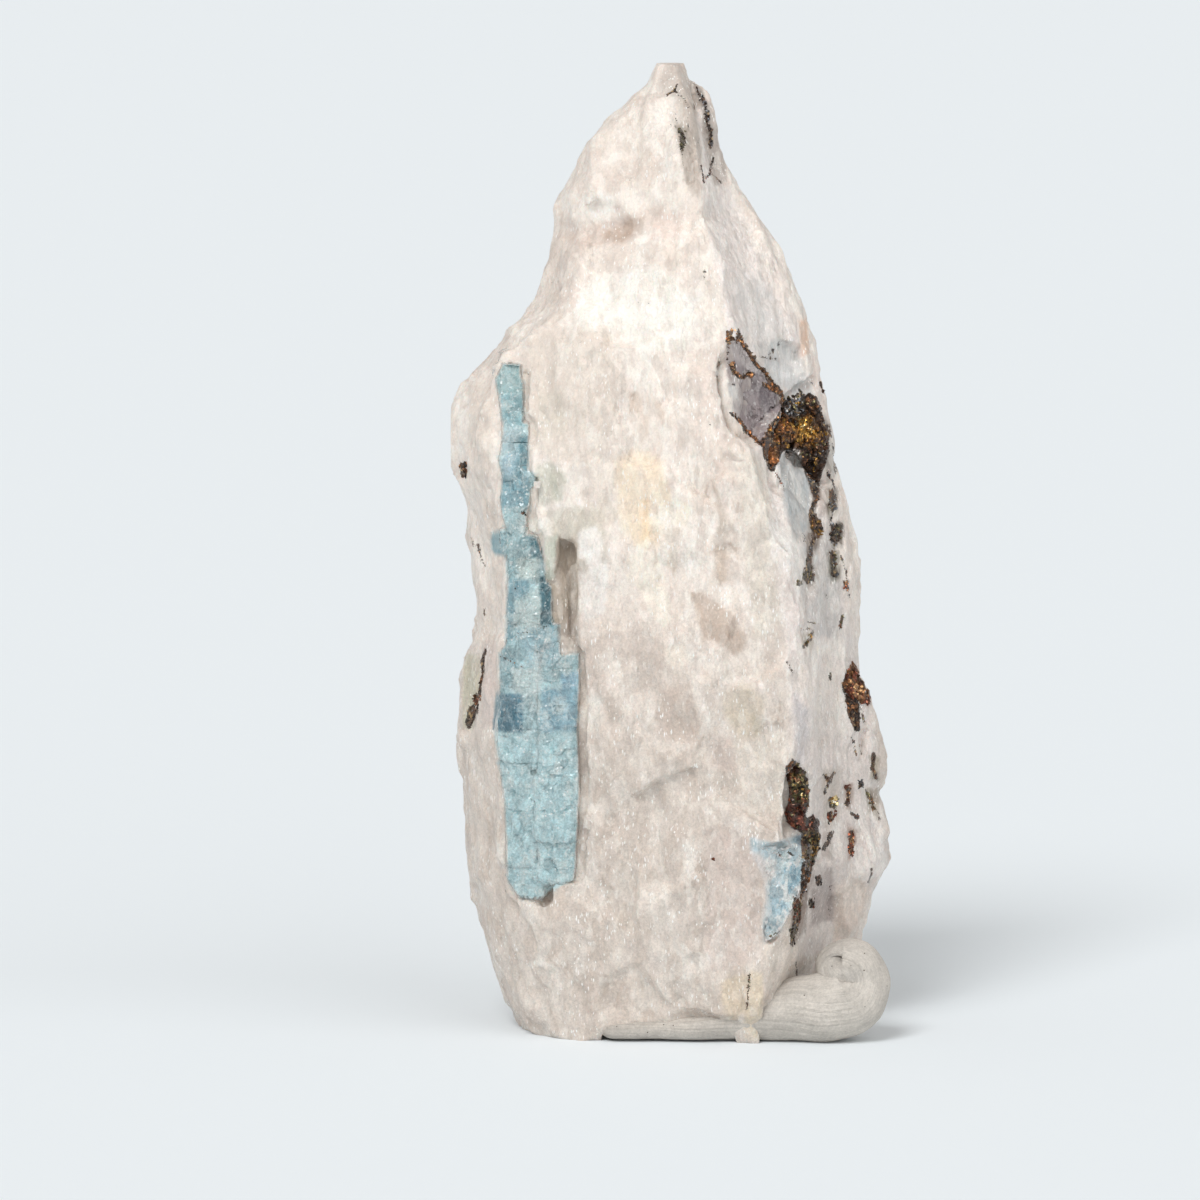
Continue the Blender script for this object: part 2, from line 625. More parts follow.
rockAreas = (  # outline in pixels, colour, strength, softness in pixels
    # cooler side right of the ridge
    (((694, 80), (705, 100), (722, 170), (760, 260), (800, 330), (815, 420), (835, 560), (870, 700),
     (890, 860), (870, 940), (800, 960), (795, 900), (795, 760), (790, 700), (780, 600), (770, 500),
     (752, 440), (728, 370), (722, 300), (702, 190)), (236, 230, 228), 0.85, 12),
    # tip, clear and grey
    (((666, 58), (690, 58), (698, 84), (706, 104), (694, 112), (672, 98), (655, 96), (660, 78)),
     (204, 195, 188), 0.9, 5),
    (((676, 98), (694, 104), (702, 150), (700, 196), (688, 190), (680, 140), (668, 112)), (194, 184, 175),
     0.9, 5),
    (((700, 92), (712, 104), (724, 150), (728, 180), (714, 186), (704, 140)), (186, 177, 171), 0.9, 4),
    (((640, 98), (664, 92), (668, 110), (640, 120)), (228, 219, 212), 0.7, 6),
    (((596, 120), (640, 112), (660, 128), (640, 150), (600, 150)), (232, 224, 216), 0.6, 8),
    # upper stone
    (((550, 220), (579, 219), (585, 250), (572, 300), (545, 310), (540, 270)), (222, 211, 203), 0.6, 10),
    (((586, 196), (600, 188), (616, 200), (610, 219), (590, 221)), (252, 248, 243), 0.8, 6),
    (((598, 168), (640, 160), (650, 176), (606, 196)), (226, 215, 207), 0.6, 8),
    (((630, 110), (676, 96), (684, 122), (640, 140)), (249, 243, 237), 0.6, 10),
    (((560, 236), (600, 222), (650, 208), (664, 206), (660, 226), (625, 244), (585, 250)), (222, 208, 199),
     0.8, 9),
    (((604, 233), (625, 220), (643, 216), (640, 233), (618, 243), (603, 242)), (197, 179, 166), 0.85, 6),
    (((648, 240), (660, 214), (684, 212), (676, 240)), (232, 216, 208), 0.6, 7),
    (((585, 252), (640, 243), (690, 246), (690, 262), (640, 268), (590, 272)), (233, 222, 213), 0.6, 7),
    (((592, 277), (610, 280), (637, 272), (668, 272), (692, 300), (691, 348), (642, 353), (622, 340),
     (616, 326), (576, 334), (574, 305)), (255, 252, 246), 0.95, 4),
    (((700, 250), (716, 280), (726, 330), (714, 340), (700, 300)), (247, 240, 232), 0.7, 7),
    # right of the ridge, high up
    (((738, 268), (772, 290), (790, 334), (770, 350), (745, 330), (733, 300)), (226, 224, 223), 0.7, 9),
    (((760, 240), (785, 270), (800, 320), (790, 330), (772, 285)), (243, 234, 229), 0.8, 7),
    (((799, 322), (806, 318), (810, 352), (802, 358)), (222, 186, 160), 0.75, 4),
    (((812, 350), (820, 372), (824, 410), (818, 420), (812, 385)), (240, 226, 220), 0.8, 4),
    (((752, 345), (790, 340), (806, 372), (816, 400), (806, 404), (790, 392), (772, 380)), (203, 205, 206),
     0.8, 6),
    (((770, 362), (784, 366), (792, 380), (780, 384)), (226, 228, 230), 0.8, 4),
    # left block
    (((528, 334), (560, 325), (609, 335), (622, 380), (612, 452), (585, 470), (540, 455), (526, 400)),
     (229, 220, 211), 0.75, 10),
    (((535, 395), (562, 392), (566, 430), (540, 440)), (219, 212, 201), 0.6, 8),
    (((575, 345), (600, 340), (604, 372), (580, 385)), (238, 230, 222), 0.7, 6),
    (((470, 385), (492, 378), (494, 440), (486, 500), (470, 470), (462, 430)), (232, 223, 215), 0.7, 8),
    (((456, 400), (466, 385), (470, 430), (462, 452)), (246, 240, 235), 0.8, 5),
    # middle
    (((690, 350), (716, 345), (728, 400), (726, 470), (708, 500), (694, 440)), (236, 224, 216), 0.6, 9),
    (((628, 392), (636, 390), (643, 402), (641, 415), (631, 411)), (221, 206, 194), 0.85, 3),
    (((652, 400), (660, 402), (666, 414), (663, 427), (658, 415)), (223, 209, 198), 0.85, 3),
    (((641, 412), (648, 416), (649, 432), (643, 451), (640, 432)), (224, 211, 200), 0.7, 4),
    (((588, 455), (606, 452), (616, 486), (610, 500), (594, 494)), (244, 236, 228), 0.8, 4),
    (((536, 466), (552, 462), (566, 478), (562, 500), (540, 506)), (204, 204, 193), 0.9, 4),
    (((545, 510), (575, 505), (603, 507), (606, 545), (590, 552), (560, 540), (548, 536)), (207, 203, 191),
     0.8, 5),
    (((560, 515), (572, 512), (576, 530), (562, 534)), (222, 218, 207), 0.7, 4),
    (((583, 500), (605, 497), (621, 512), (613, 530), (598, 524)), (232, 224, 214), 0.7, 6),
    (((616, 462), (640, 448), (662, 462), (672, 500), (660, 545), (640, 552), (622, 530), (616, 492)),
     (244, 230, 210), 0.85, 10),
    (((640, 500), (652, 498), (652, 540), (643, 540)), (242, 220, 190), 0.8, 6),
    (((658, 508), (672, 506), (676, 496), (692, 508), (690, 521), (683, 527), (659, 527)), (251, 244, 232),
     0.95, 2.5),
    (((625, 557), (640, 548), (658, 552), (664, 575), (671, 610), (665, 630), (650, 612), (640, 590),
     (627, 580)), (248, 241, 231), 0.9, 3),
    (((665, 530), (680, 528), (678, 572), (668, 570)), (226, 217, 206), 0.85, 4),
    (((578, 530), (598, 525), (608, 548), (606, 612), (585, 622), (578, 600)), (246, 243, 240), 0.9, 4),
    (((577, 556), (587, 560), (586, 572), (578, 573)), (176, 168, 155), 0.8, 2),
    (((600, 545), (608, 542), (608, 560), (601, 562)), (212, 202, 190), 0.7, 3),
    (((714, 504), (722, 504), (727, 516), (726, 530), (728, 557), (728, 568), (726, 581), (720, 586),
     (715, 576), (714, 545), (716, 526)), (211, 197, 185), 0.9, 2.5),
    (((731, 517), (735, 519), (736, 530), (739, 540), (738, 550), (742, 562), (738, 562), (733, 552),
     (728, 545)), (213, 199, 188), 0.9, 2.5),
    (((690, 592), (701, 591), (712, 600), (724, 608), (733, 612), (740, 625), (746, 640), (742, 652),
     (728, 654), (714, 640), (704, 639), (699, 624)), (206, 191, 179), 0.9, 3),
    # smooth band beside the valley, then the granular white one
    (((738, 450), (762, 460), (776, 540), (778, 640), (756, 640), (744, 560)), (230, 224, 215), 0.8, 8),
    (((768, 521), (776, 522), (790, 531), (797, 546), (803, 566), (800, 583), (782, 578), (772, 556)),
     (244, 241, 238), 0.9, 3),
    (((776, 470), (782, 454), (800, 450), (810, 472), (808, 530), (796, 540), (784, 500)), (184, 190, 193),
     0.9, 5),
    (((788, 462), (796, 460), (798, 474), (790, 478)), (222, 226, 228), 0.8, 3),
    (((800, 540), (830, 530), (842, 580), (836, 640), (812, 640), (800, 600)), (204, 202, 201), 0.7, 8),
    (((818, 480), (828, 484), (830, 512), (820, 516)), (196, 184, 178), 0.9, 4),
    # lower front
    (((580, 640), (640, 628), (668, 650), (662, 690), (600, 696), (580, 680)), (216, 205, 197), 0.8, 8),
    (((612, 660), (620, 655), (624, 690), (614, 694)), (237, 229, 222), 0.7, 3),
    (((628, 664), (634, 662), (636, 690), (630, 690)), (234, 226, 219), 0.7, 3),
    (((665, 644), (686, 642), (690, 660), (680, 672), (666, 664)), (245, 238, 229), 0.9, 4),
    (((585, 700), (600, 696), (603, 720), (588, 724)), (242, 237, 230), 0.9, 4),
    (((604, 698), (622, 696), (624, 720), (608, 722)), (210, 199, 190), 0.8, 4),
    (((655, 690), (690, 684), (700, 725), (690, 745), (660, 735)), (212, 199, 190), 0.8, 8),
    (((692, 690), (702, 694), (712, 718), (704, 735), (696, 715)), (241, 234, 228), 0.7, 4),
    (((722, 688), (750, 684), (766, 700), (762, 742), (738, 738), (724, 715)), (226, 216, 201), 0.8, 8),
    (((752, 716), (760, 718), (762, 760), (755, 764)), (214, 203, 184), 0.8, 4),
    (((730, 745), (780, 730), (788, 780), (784, 812), (745, 815)), (240, 233, 225), 0.8, 10),
    (((709, 736), (732, 738), (736, 772), (712, 770)), (218, 205, 198), 0.7, 7),
    (((706, 830), (748, 826), (764, 900), (762, 960), (706, 970)), (224, 212, 206), 0.8, 10),
    (((793, 690), (808, 700), (810, 764), (796, 764)), (218, 215, 218), 0.8, 6),
    (((796, 634), (846, 640), (848, 704), (822, 716), (798, 700)), (250, 243, 238), 0.8, 8),
    (((816, 704), (846, 704), (846, 730), (820, 750), (812, 720)), (236, 230, 226), 0.7, 8),
    # left foot
    (((464, 655), (482, 653), (480, 690), (473, 728), (462, 728)), (204, 202, 184), 0.85, 4),
    (((484, 640), (496, 640), (496, 728), (480, 728)), (226, 215, 211), 0.7, 5),
    # flat taupe hollow beside the blue prism
    (((546, 538), (578, 538), (578, 626), (549, 622)), (186, 175, 162), 0.95, 2),
    (((553, 622), (579, 622), (579, 650), (558, 650)), (188, 178, 168), 0.9, 4),
    # hanging tab over the hollow, with its white top
    (((544, 535), (557, 535), (556, 580), (547, 581)), (206, 211, 200), 0.95, 2),
    (((527, 520), (551, 519), (552, 535), (528, 536)), (243, 242, 236), 0.9, 3),
    # dark shades of mica under the quartz
    (((805, 462), (812, 458), (821, 482), (820, 500), (814, 515), (824, 528), (820, 545), (812, 560),
     (818, 578), (808, 588), (801, 580), (808, 560), (806, 540), (808, 520), (812, 500), (808, 482)),
     (118, 101, 88), 0.8, 3),
    (((826, 488), (838, 488), (838, 512), (830, 520), (826, 508)), (132, 124, 112), 0.8, 4),
    (((829, 522), (844, 522), (843, 546), (832, 550)), (100, 95, 88), 0.9, 3),
    (((827, 550), (840, 550), (841, 578), (830, 582)), (122, 116, 102), 0.85, 3),
    (((822, 412), (832, 424), (838, 470), (828, 492), (824, 450)), (150, 146, 141), 0.75, 4),
    (((784, 440), (800, 446), (806, 470), (800, 476), (786, 460)), (176, 176, 176), 0.7, 4),
    (((800, 634), (814, 632), (812, 648), (802, 648)), (178, 166, 146), 0.6, 3),
    (((844, 782), (854, 784), (852, 810), (845, 808)), (172, 146, 132), 0.75, 3),
    (((847, 826), (857, 828), (855, 858), (848, 858)), (164, 134, 120), 0.75, 3),
    (((864, 788), (880, 790), (880, 820), (868, 812)), (158, 144, 124), 0.75, 3),
    (((869, 755), (878, 757), (879, 782), (871, 780)), (150, 138, 112), 0.75, 3),
    (((796, 860), (810, 860), (806, 930), (792, 948), (790, 925)), (116, 96, 84), 0.7, 3),
    (((822, 770), (842, 768), (838, 828), (824, 830)), (198, 188, 178), 0.6, 4),
    (((693, 82), (702, 88), (710, 108), (713, 130), (712, 150), (706, 140), (702, 110)), (126, 118, 112),
     0.75, 3),
    (((675, 126), (688, 128), (688, 145), (684, 166), (680, 150)), (150, 142, 130), 0.6, 3),
    # below the blue patch and the toe
    (((809, 864), (833, 866), (834, 922), (812, 925)), (176, 165, 163), 0.8, 5),
    (((822, 832), (832, 834), (832, 858), (822, 858)), (190, 178, 172), 0.7, 4),
    (((852, 872), (872, 872), (866, 940), (834, 950), (834, 890)), (226, 214, 205), 0.8, 6),
    (((850, 845), (880, 835), (888, 865), (870, 885), (855, 880)), (247, 242, 240), 0.9, 5),
    (((722, 980), (748, 972), (748, 1012), (730, 1024), (722, 1010)), (233, 220, 201), 0.85, 5),
    (((748, 975), (762, 972), (763, 1038), (744, 1038)), (232, 221, 203), 0.9, 3),
    (((762, 944), (796, 944), (798, 985), (764, 990)), (236, 229, 222), 0.7, 5),
)


crystalLook = {
    "voxel": 0.11,
    "flatten": 0.6,
    "edge": (232, 222, 213),
    "prismPlain": (182, 210, 214),
    "patchPlain": (226, 220, 216),
    "smokyPlain": (190, 180, 178),
    "whiteGrain": (238, 236, 232),
    "prismGrows": 0.35,
    "mostTriangles": 90000,
    "faces": (((0.8, 0.8, 1.0), 0.05, 0.1, 21), ((0.4, 0.4, 0.5), 0.03, 0.06, 22)),
}
berylAreas = (
    (((490, 360), (524, 360), (524, 395), (490, 395)), (176, 206, 207), 0.9, 5),
    (((501, 395), (524, 395), (524, 426), (501, 426)), (156, 194, 200), 0.8, 6),
    (((499, 428), (518, 426), (519, 451), (500, 452)), (198, 221, 226), 0.95, 3),
    (((502, 455), (519, 453), (520, 474), (503, 480)), (184, 211, 221), 0.95, 3),
    (((517, 436), (530, 436), (530, 486), (516, 486)), (112, 154, 164), 0.85, 4),
    (((500, 478), (530, 476), (530, 506), (501, 508)), (138, 178, 190), 0.8, 5),
    (((501, 508), (530, 508), (528, 535), (503, 535)), (176, 202, 205), 0.8, 5),
    (((488, 532), (506, 532), (506, 556), (488, 556)), (140, 172, 180), 0.9, 3),
    (((506, 545), (528, 545), (528, 580), (506, 580)), (166, 196, 200), 0.7, 6),
    (((516, 560), (540, 556), (540, 580), (520, 582)), (204, 216, 210), 0.7, 5),
    (((506, 580), (530, 580), (528, 602), (506, 602)), (126, 164, 176), 0.8, 4),
    (((512, 600), (541, 588), (541, 624), (512, 626)), (196, 210, 207), 0.7, 6),
    (((504, 600), (514, 600), (514, 640), (504, 640)), (132, 170, 182), 0.8, 4),
    (((527, 535), (544, 537), (546, 560), (530, 559)), (76, 118, 128), 0.97, 2),
    (((541, 578), (553, 580), (553, 626), (540, 622)), (78, 118, 128), 0.97, 2),
    (((516, 630), (560, 622), (560, 668), (528, 668)), (164, 194, 202), 0.85, 3),
    (((497, 648), (521, 648), (521, 690), (497, 690)), (156, 184, 190), 0.7, 5),
    (((510, 668), (542, 666), (540, 692), (514, 694)), (206, 218, 216), 0.7, 5),
    (((494, 694), (523, 694), (523, 732), (488, 732)), (92, 132, 148), 0.95, 3),
    (((524, 694), (540, 694), (540, 732), (524, 732)), (176, 200, 204), 0.7, 4),
    (((540, 664), (582, 652), (582, 676), (545, 682)), (160, 186, 190), 0.8, 4),
    (((562, 672), (579, 672), (579, 690), (562, 690)), (152, 190, 208), 0.9, 3),
    (((540, 690), (582, 690), (582, 732), (540, 732)), (148, 184, 198), 0.85, 5),
    (((548, 700), (566, 696), (568, 712), (552, 716)), (188, 210, 216), 0.7, 4),
)
patchAreas = (
    (((749, 838), (775, 843), (795, 836), (805, 837), (803, 847), (806, 866), (803, 882), (797, 892),
     (789, 910), (783, 922), (775, 934), (765, 942), (763, 926), (766, 908), (766, 886), (776, 868),
     (764, 856), (752, 850)), (182, 203, 210), 0.9, 6),
    (((784, 862), (800, 868), (800, 884), (788, 892), (782, 880)), (150, 184, 198), 0.9, 5),
    (((768, 898), (788, 894), (782, 916), (768, 930)), (168, 194, 204), 0.8, 5),
    (((796, 833), (808, 832), (806, 846), (798, 848)), (104, 128, 144), 0.9, 2),
)
smokyAreas = (
    (((726, 350), (750, 372), (764, 374), (774, 386), (782, 396), (782, 409), (773, 420), (768, 432),
     (763, 446), (754, 442), (745, 428), (738, 416), (731, 406), (726, 384)), (146, 133, 134), 0.95, 4),
    (((756, 380), (772, 386), (778, 400), (768, 414), (758, 400)), (122, 110, 114), 0.8, 5),
    (((726, 385), (736, 388), (738, 402), (728, 400)), (206, 210, 210), 0.7, 4),
)
prismOutline = (
    (504, 364), (520, 364), (520, 374), (523, 386), (523, 423), (528, 424), (529, 470), (536, 473),
    (536, 484), (530, 489), (529, 506), (526, 517), (527, 534), (537, 537), (543, 556), (546, 581),
    (551, 587), (552, 624), (559, 624), (560, 656), (568, 655), (579, 653), (579, 684), (577, 729),
    (579, 790), (574, 880), (552, 890), (540, 900), (520, 898), (508, 880), (505, 800), (493, 729),
    (496, 695), (500, 687), (499, 665), (500, 651), (507, 645), (506, 617), (507, 578), (506, 556),
    (498, 555), (491, 551), (492, 533), (507, 528), (503, 517), (500, 498), (503, 481), (499, 461),
    (503, 434), (503, 423), (496, 379), (498, 376)
)
patchOutline = (
    (749, 836), (775, 842), (795, 835), (801, 833), (807, 836), (805, 847), (808, 866), (805, 882),
    (799, 893), (791, 911), (785, 923), (777, 935), (764, 944), (762, 920), (765, 900), (765, 884),
    (758, 866), (750, 852)
)
smokyOutline = (
    (726, 343), (732, 341), (736, 338), (743, 343), (748, 352), (754, 362), (760, 368), (768, 378),
    (776, 386), (782, 394), (783, 402), (778, 414), (771, 420), (768, 430), (766, 438), (764, 445),
    (753, 439), (748, 432), (742, 421), (734, 414), (732, 400), (729, 390), (727, 376), (725, 360)
)
upperOutline = (
    (784, 399), (792, 404), (800, 411), (804, 413), (807, 408), (805, 399), (809, 395), (816, 398),
    (820, 411), (826, 422), (831, 432), (829, 441), (828, 452), (826, 462), (822, 472), (820, 482),
    (815, 487), (808, 480), (804, 470), (800, 460), (795, 451), (788, 449), (781, 452), (778, 462),
    (775, 472), (770, 471), (765, 460), (765, 444), (764, 437), (769, 427), (772, 421), (777, 414),
    (782, 408)
)
lowerOutline = (
    (791, 760), (795, 760), (800, 767), (805, 771), (808, 783), (811, 795), (807, 804), (806, 817),
    (815, 818), (816, 831), (820, 838), (817, 850), (812, 863), (803, 859), (800, 846), (802, 831),
    (795, 830), (787, 822), (784, 812), (788, 806), (790, 795), (788, 783), (785, 776), (785, 767)
)
# Scales, by piece: the CAD nodes it stands for, areas and lines. An area is an outline in pixels,
# how many, smallest and largest in mm, and tints. A line is a bent line in pixels, spacing,
# scatter, smallest and largest in mm, and tints.
scaleGroups = {
    "micaScalesUpper": ((), (
        (((786, 401), (799, 392), (814, 396), (817, 413), (826, 431), (822, 466), (816, 476), (806, 466),
         (799, 449), (786, 447), (779, 436), (779, 416)), 170, 0.15, 0.5,
         ("brown", "dark", "black", "olive", "gold")),
        (((784, 402), (799, 392), (806, 396), (804, 412), (786, 416)), 50, 0.2, 0.45,
         ("steel", "black", "grey")),
        (((808, 393), (816, 398), (820, 420), (812, 420)), 30, 0.2, 0.45, ("brown", "dark", "black")),
        (((764, 436), (778, 434), (778, 454), (772, 470), (765, 456)), 14, 0.35, 0.6, ("orange", "tan")),
        (((770, 424), (784, 412), (792, 420), (790, 446), (778, 446), (766, 436)), 90, 0.15, 0.4,
         ("brown", "orange", "dark", "gold", "black")),
        (((798, 416), (813, 416), (815, 442), (798, 440)), 46, 0.12, 0.34,
         ("glint", "gold", "gold", "brown")),
        (((812, 430), (824, 434), (822, 466), (812, 462)), 40, 0.1, 0.3,
         ("black", "dark", "gold", "steel")),
    ), (
        (((778, 418), (768, 432), (763, 440), (765, 456), (773, 471)), 1.0, 0.5, 0.15, 0.3,
         ("black", "dark", "brown")),
        (((774, 470), (779, 480), (784, 490)), 1.1, 0.3, 0.1, 0.22, ("brown", "rust")),
        (((829, 424), (832, 440), (834, 456), (836, 474)), 1.6, 0.4, 0.08, 0.18, ("steel", "dark")),
    )),
    "micaRims": ((), (
        (((726, 331), (732, 330), (733, 345), (727, 343)), 14, 0.18, 0.4, ("tan", "orange", "brown")),
        (((735, 328), (741, 331), (744, 343), (736, 342)), 20, 0.18, 0.42, ("tan", "orange", "brown")),
    ), (
        (((732, 363), (734, 372), (742, 377), (752, 374)), 0.55, 0.7, 0.18, 0.4,
         ("tan", "orange", "brown", "dark")),
        (((741, 340), (749, 354), (757, 366), (766, 372), (772, 384), (781, 392), (783, 402)), 0.7, 0.6,
         0.15, 0.34, ("brown", "tan", "dark", "orange")),
        (((764, 384), (770, 388), (778, 392)), 0.7, 0.7, 0.2, 0.42, ("orange", "tan", "brown")),
        (((727, 338), (728, 352), (728, 366)), 1.2, 0.5, 0.1, 0.22, ("brown", "dark")),
        (((733, 414), (740, 421), (746, 430), (753, 438), (762, 444)), 0.75, 0.6, 0.14, 0.32,
         ("brown", "orange", "dark")),
        (((734, 385), (735, 387)), 0.8, 0.6, 0.12, 0.2, ("steel",)),
        (((754, 356), (765, 358), (777, 359)), 1.0, 0.3, 0.08, 0.2, ("olive", "grey", "dark")),
        (((767, 356), (773, 350), (780, 344)), 1.2, 1.0, 0.07, 0.17, ("olive", "steel")),
        (((799, 390), (804, 396), (809, 408)), 1.0, 0.6, 0.12, 0.26, ("olive", "dark", "black")),
        (((810, 380), (813, 386)), 1.2, 0.5, 0.1, 0.2, ("steel",)),
    )),
    "micaVeinMiddle": (("mica_vein_middle",), (
        (((805, 464), (812, 462), (820, 482), (818, 500), (812, 498)), 34, 0.14, 0.36,
         ("dark", "brown", "black", "steel")),
        (((810, 518), (816, 513), (823, 528), (819, 540), (811, 538)), 40, 0.16, 0.42,
         ("brown", "gold", "dark", "black")),
        (((806, 560), (812, 556), (816, 578), (808, 586), (802, 578)), 30, 0.14, 0.36,
         ("dark", "brown", "olive")),
        (((795, 579), (802, 579), (801, 587), (796, 586)), 12, 0.12, 0.28, ("olive", "brown")),
    ), (
        (((807, 458), (806, 470), (811, 480)), 0.9, 0.8, 0.12, 0.28, ("black", "dark", "brown")),
        (((818, 498), (813, 506), (811, 516)), 0.8, 0.8, 0.12, 0.3, ("dark", "brown", "black")),
        (((813, 540), (810, 550), (811, 560)), 0.9, 0.8, 0.12, 0.28, ("dark", "steel")),
        (((803, 532), (805, 544)), 1.2, 0.4, 0.08, 0.2, ("steel", "dark")),
        (((808, 622), (816, 623)), 0.9, 0.3, 0.08, 0.18, ("dark", "olive")),
        (((801, 630), (808, 629), (814, 630)), 0.9, 0.3, 0.08, 0.18, ("dark", "gold")),
        (((812, 634), (809, 640), (804, 646)), 0.55, 0.6, 0.14, 0.3, ("olive", "brown", "gold")),
        (((786, 662), (789, 665), (793, 671)), 1.1, 0.6, 0.08, 0.18, ("dark", "olive")),
        (((831, 671), (829, 680)), 0.9, 0.6, 0.12, 0.24, ("olive", "grey")),
    )),
    "micaVeinRight": (("mica_vein_right",), (
        (((829, 490), (834, 488), (837, 508), (832, 516), (828, 506)), 20, 0.14, 0.34,
         ("steel", "olive", "dark")),
        (((831, 524), (842, 524), (840, 540), (834, 548), (830, 538)), 40, 0.16, 0.38,
         ("steel", "black", "dark", "olive")),
        (((829, 552), (836, 550), (838, 576), (832, 580)), 34, 0.14, 0.34, ("olive", "dark", "steel")),
        (((842, 580), (848, 582), (849, 592), (844, 590)), 14, 0.14, 0.3, ("orange", "brown", "rust")),
    ), (
        (((827, 470), (832, 482), (836, 498), (832, 514), (830, 524)), 1.3, 0.6, 0.1, 0.24,
         ("steel", "dark")),
        (((841, 556), (846, 570), (847, 580)), 1.2, 0.5, 0.1, 0.22, ("steel", "dark")),
        (((826, 594), (827, 600)), 1.0, 0.3, 0.1, 0.18, ("dark",)),
        (((849, 594), (850, 597)), 1.0, 0.3, 0.12, 0.2, ("dark",)),
        (((842, 616), (840, 627)), 0.7, 0.6, 0.14, 0.3, ("brown", "olive", "tan")),
    )),
    "micaEdgeRight": (("mica_edge_right",), (
        (((850, 666), (857, 669), (861, 679), (869, 698), (867, 704), (861, 705), (857, 700), (848, 694),
         (844, 685)), 95, 0.4, 0.85, ("brown", "tan", "rust", "brown")),
        (((847, 694), (858, 700), (860, 715), (859, 731), (856, 731), (850, 720)), 60, 0.25, 0.55,
         ("dark", "brown", "black")),
    ), (
        (((848, 672), (844, 686), (847, 700), (852, 720)), 0.9, 0.4, 0.14, 0.3, ("dark", "brown")),
        (((862, 708), (864, 722)), 1.0, 0.9, 0.1, 0.24, ("olive", "grey")),
        (((873, 754), (873, 768), (876, 778)), 0.9, 0.8, 0.14, 0.3, ("olive", "brown", "dark")),
        (((851, 735), (856, 755)), 1.6, 0.3, 0.08, 0.18, ("dark", "grey")),
        (((859, 745), (861, 752)), 1.3, 0.3, 0.08, 0.18, ("dark",)),
    )),
    "micaScalesLower": ((), (
        (((788, 764), (798, 762), (806, 776), (810, 797), (807, 815), (803, 829), (791, 828), (786, 812),
         (790, 798), (788, 780)), 120, 0.14, 0.42, ("dark", "rust", "black", "olive", "brown")),
        (((794, 776), (806, 778), (808, 800), (796, 798)), 50, 0.1, 0.26,
         ("olive", "gold", "glint", "dark")),
        (((808, 819), (815, 820), (814, 830), (807, 830)), 20, 0.2, 0.4, ("rust", "dark")),
        (((804, 832), (818, 834), (820, 850), (812, 864), (803, 856)), 70, 0.16, 0.42,
         ("olive", "dark", "gold", "black")),
    ), ()),
    "micaStreakLower": (("mica_streak_lower",), (
        (((800, 832), (812, 836), (820, 848), (814, 866), (806, 892), (799, 904), (803, 870), (807, 852)),
         70, 0.15, 0.4, ("olive", "dark", "brown", "steel")),
        (((796, 900), (802, 900), (799, 925), (794, 946), (789, 944), (792, 925)), 40, 0.15, 0.36,
         ("dark", "rust", "olive")),
        (((801, 862), (808, 862), (806, 886), (801, 900)), 36, 0.18, 0.4, ("dark", "black", "brown")),
        (((793, 898), (801, 896), (800, 926), (794, 924)), 42, 0.18, 0.42, ("dark", "brown", "rust")),
        (((789, 928), (795, 928), (793, 946), (790, 946)), 22, 0.14, 0.34, ("olive", "dark")),
        (((815, 876), (821, 875), (821, 886), (816, 886)), 16, 0.16, 0.34, ("black", "dark")),
        (((808, 897), (815, 898), (815, 908), (809, 908)), 18, 0.18, 0.36, ("rust", "dark")),
        (((848, 831), (854, 831), (853, 856), (849, 856)), 30, 0.2, 0.4, ("rust", "brown", "tan")),
        (((846, 784), (851, 785), (850, 806), (845, 806)), 24, 0.18, 0.38, ("rust", "tan", "brown")),
        (((858, 780), (864, 781), (864, 788), (858, 788)), 16, 0.18, 0.34, ("dark", "steel")),
        (((866, 791), (870, 791), (876, 808), (872, 811)), 26, 0.18, 0.36, ("brown", "olive", "tan")),
        (((828, 797), (838, 798), (837, 807), (830, 808)), 30, 0.18, 0.4,
         ("silver", "glint", "gold", "olive")),
        (((827, 812), (837, 812), (832, 824), (826, 823)), 24, 0.2, 0.4, ("rust", "brown", "dark")),
    ), (
        (((834, 773), (828, 784), (825, 792)), 0.9, 0.5, 0.12, 0.26, ("dark", "olive", "grey")),
        (((824, 776), (828, 779)), 1.0, 0.8, 0.14, 0.28, ("black", "dark")),
        (((878, 812), (880, 820)), 1.0, 0.4, 0.12, 0.24, ("dark",)),
        (((830, 885), (831, 889)), 1.2, 0.5, 0.12, 0.22, ("dark",)),
        (((832, 832), (828, 842), (824, 850)), 1.2, 0.9, 0.12, 0.26, ("grey", "dark")),
        (((852, 814), (858, 818)), 1.1, 0.8, 0.14, 0.28, ("grey", "rust")),
        (((828, 906), (831, 918)), 1.2, 0.5, 0.1, 0.2, ("olive",)),
        (((796, 962), (797, 976), (794, 984)), 1.0, 0.4, 0.1, 0.22, ("dark", "brown")),
        (((872, 870), (868, 884)), 1.2, 0.5, 0.1, 0.2, ("grey", "dark")),
        (((749, 974), (748, 992), (747, 1010)), 0.7, 0.4, 0.12, 0.24, ("olive", "brown", "dark")),
        (((776, 852), (780, 856)), 1.1, 0.8, 0.1, 0.22, ("dark",)),
        (((788, 852), (792, 856)), 1.1, 0.8, 0.1, 0.22, ("dark", "olive")),
        (((770, 936), (778, 932)), 1.2, 0.8, 0.1, 0.22, ("olive", "dark")),
    )),
    "micaSeamLeft": (("mica_seam_left", "mica_grain_left"), (
        (((474, 694), (481, 694), (480, 707), (474, 708)), 22, 0.16, 0.36, ("brown", "rust", "dark")),
        (((459, 462), (466, 463), (467, 477), (462, 477)), 26, 0.25, 0.48, ("dark", "black", "brown")),
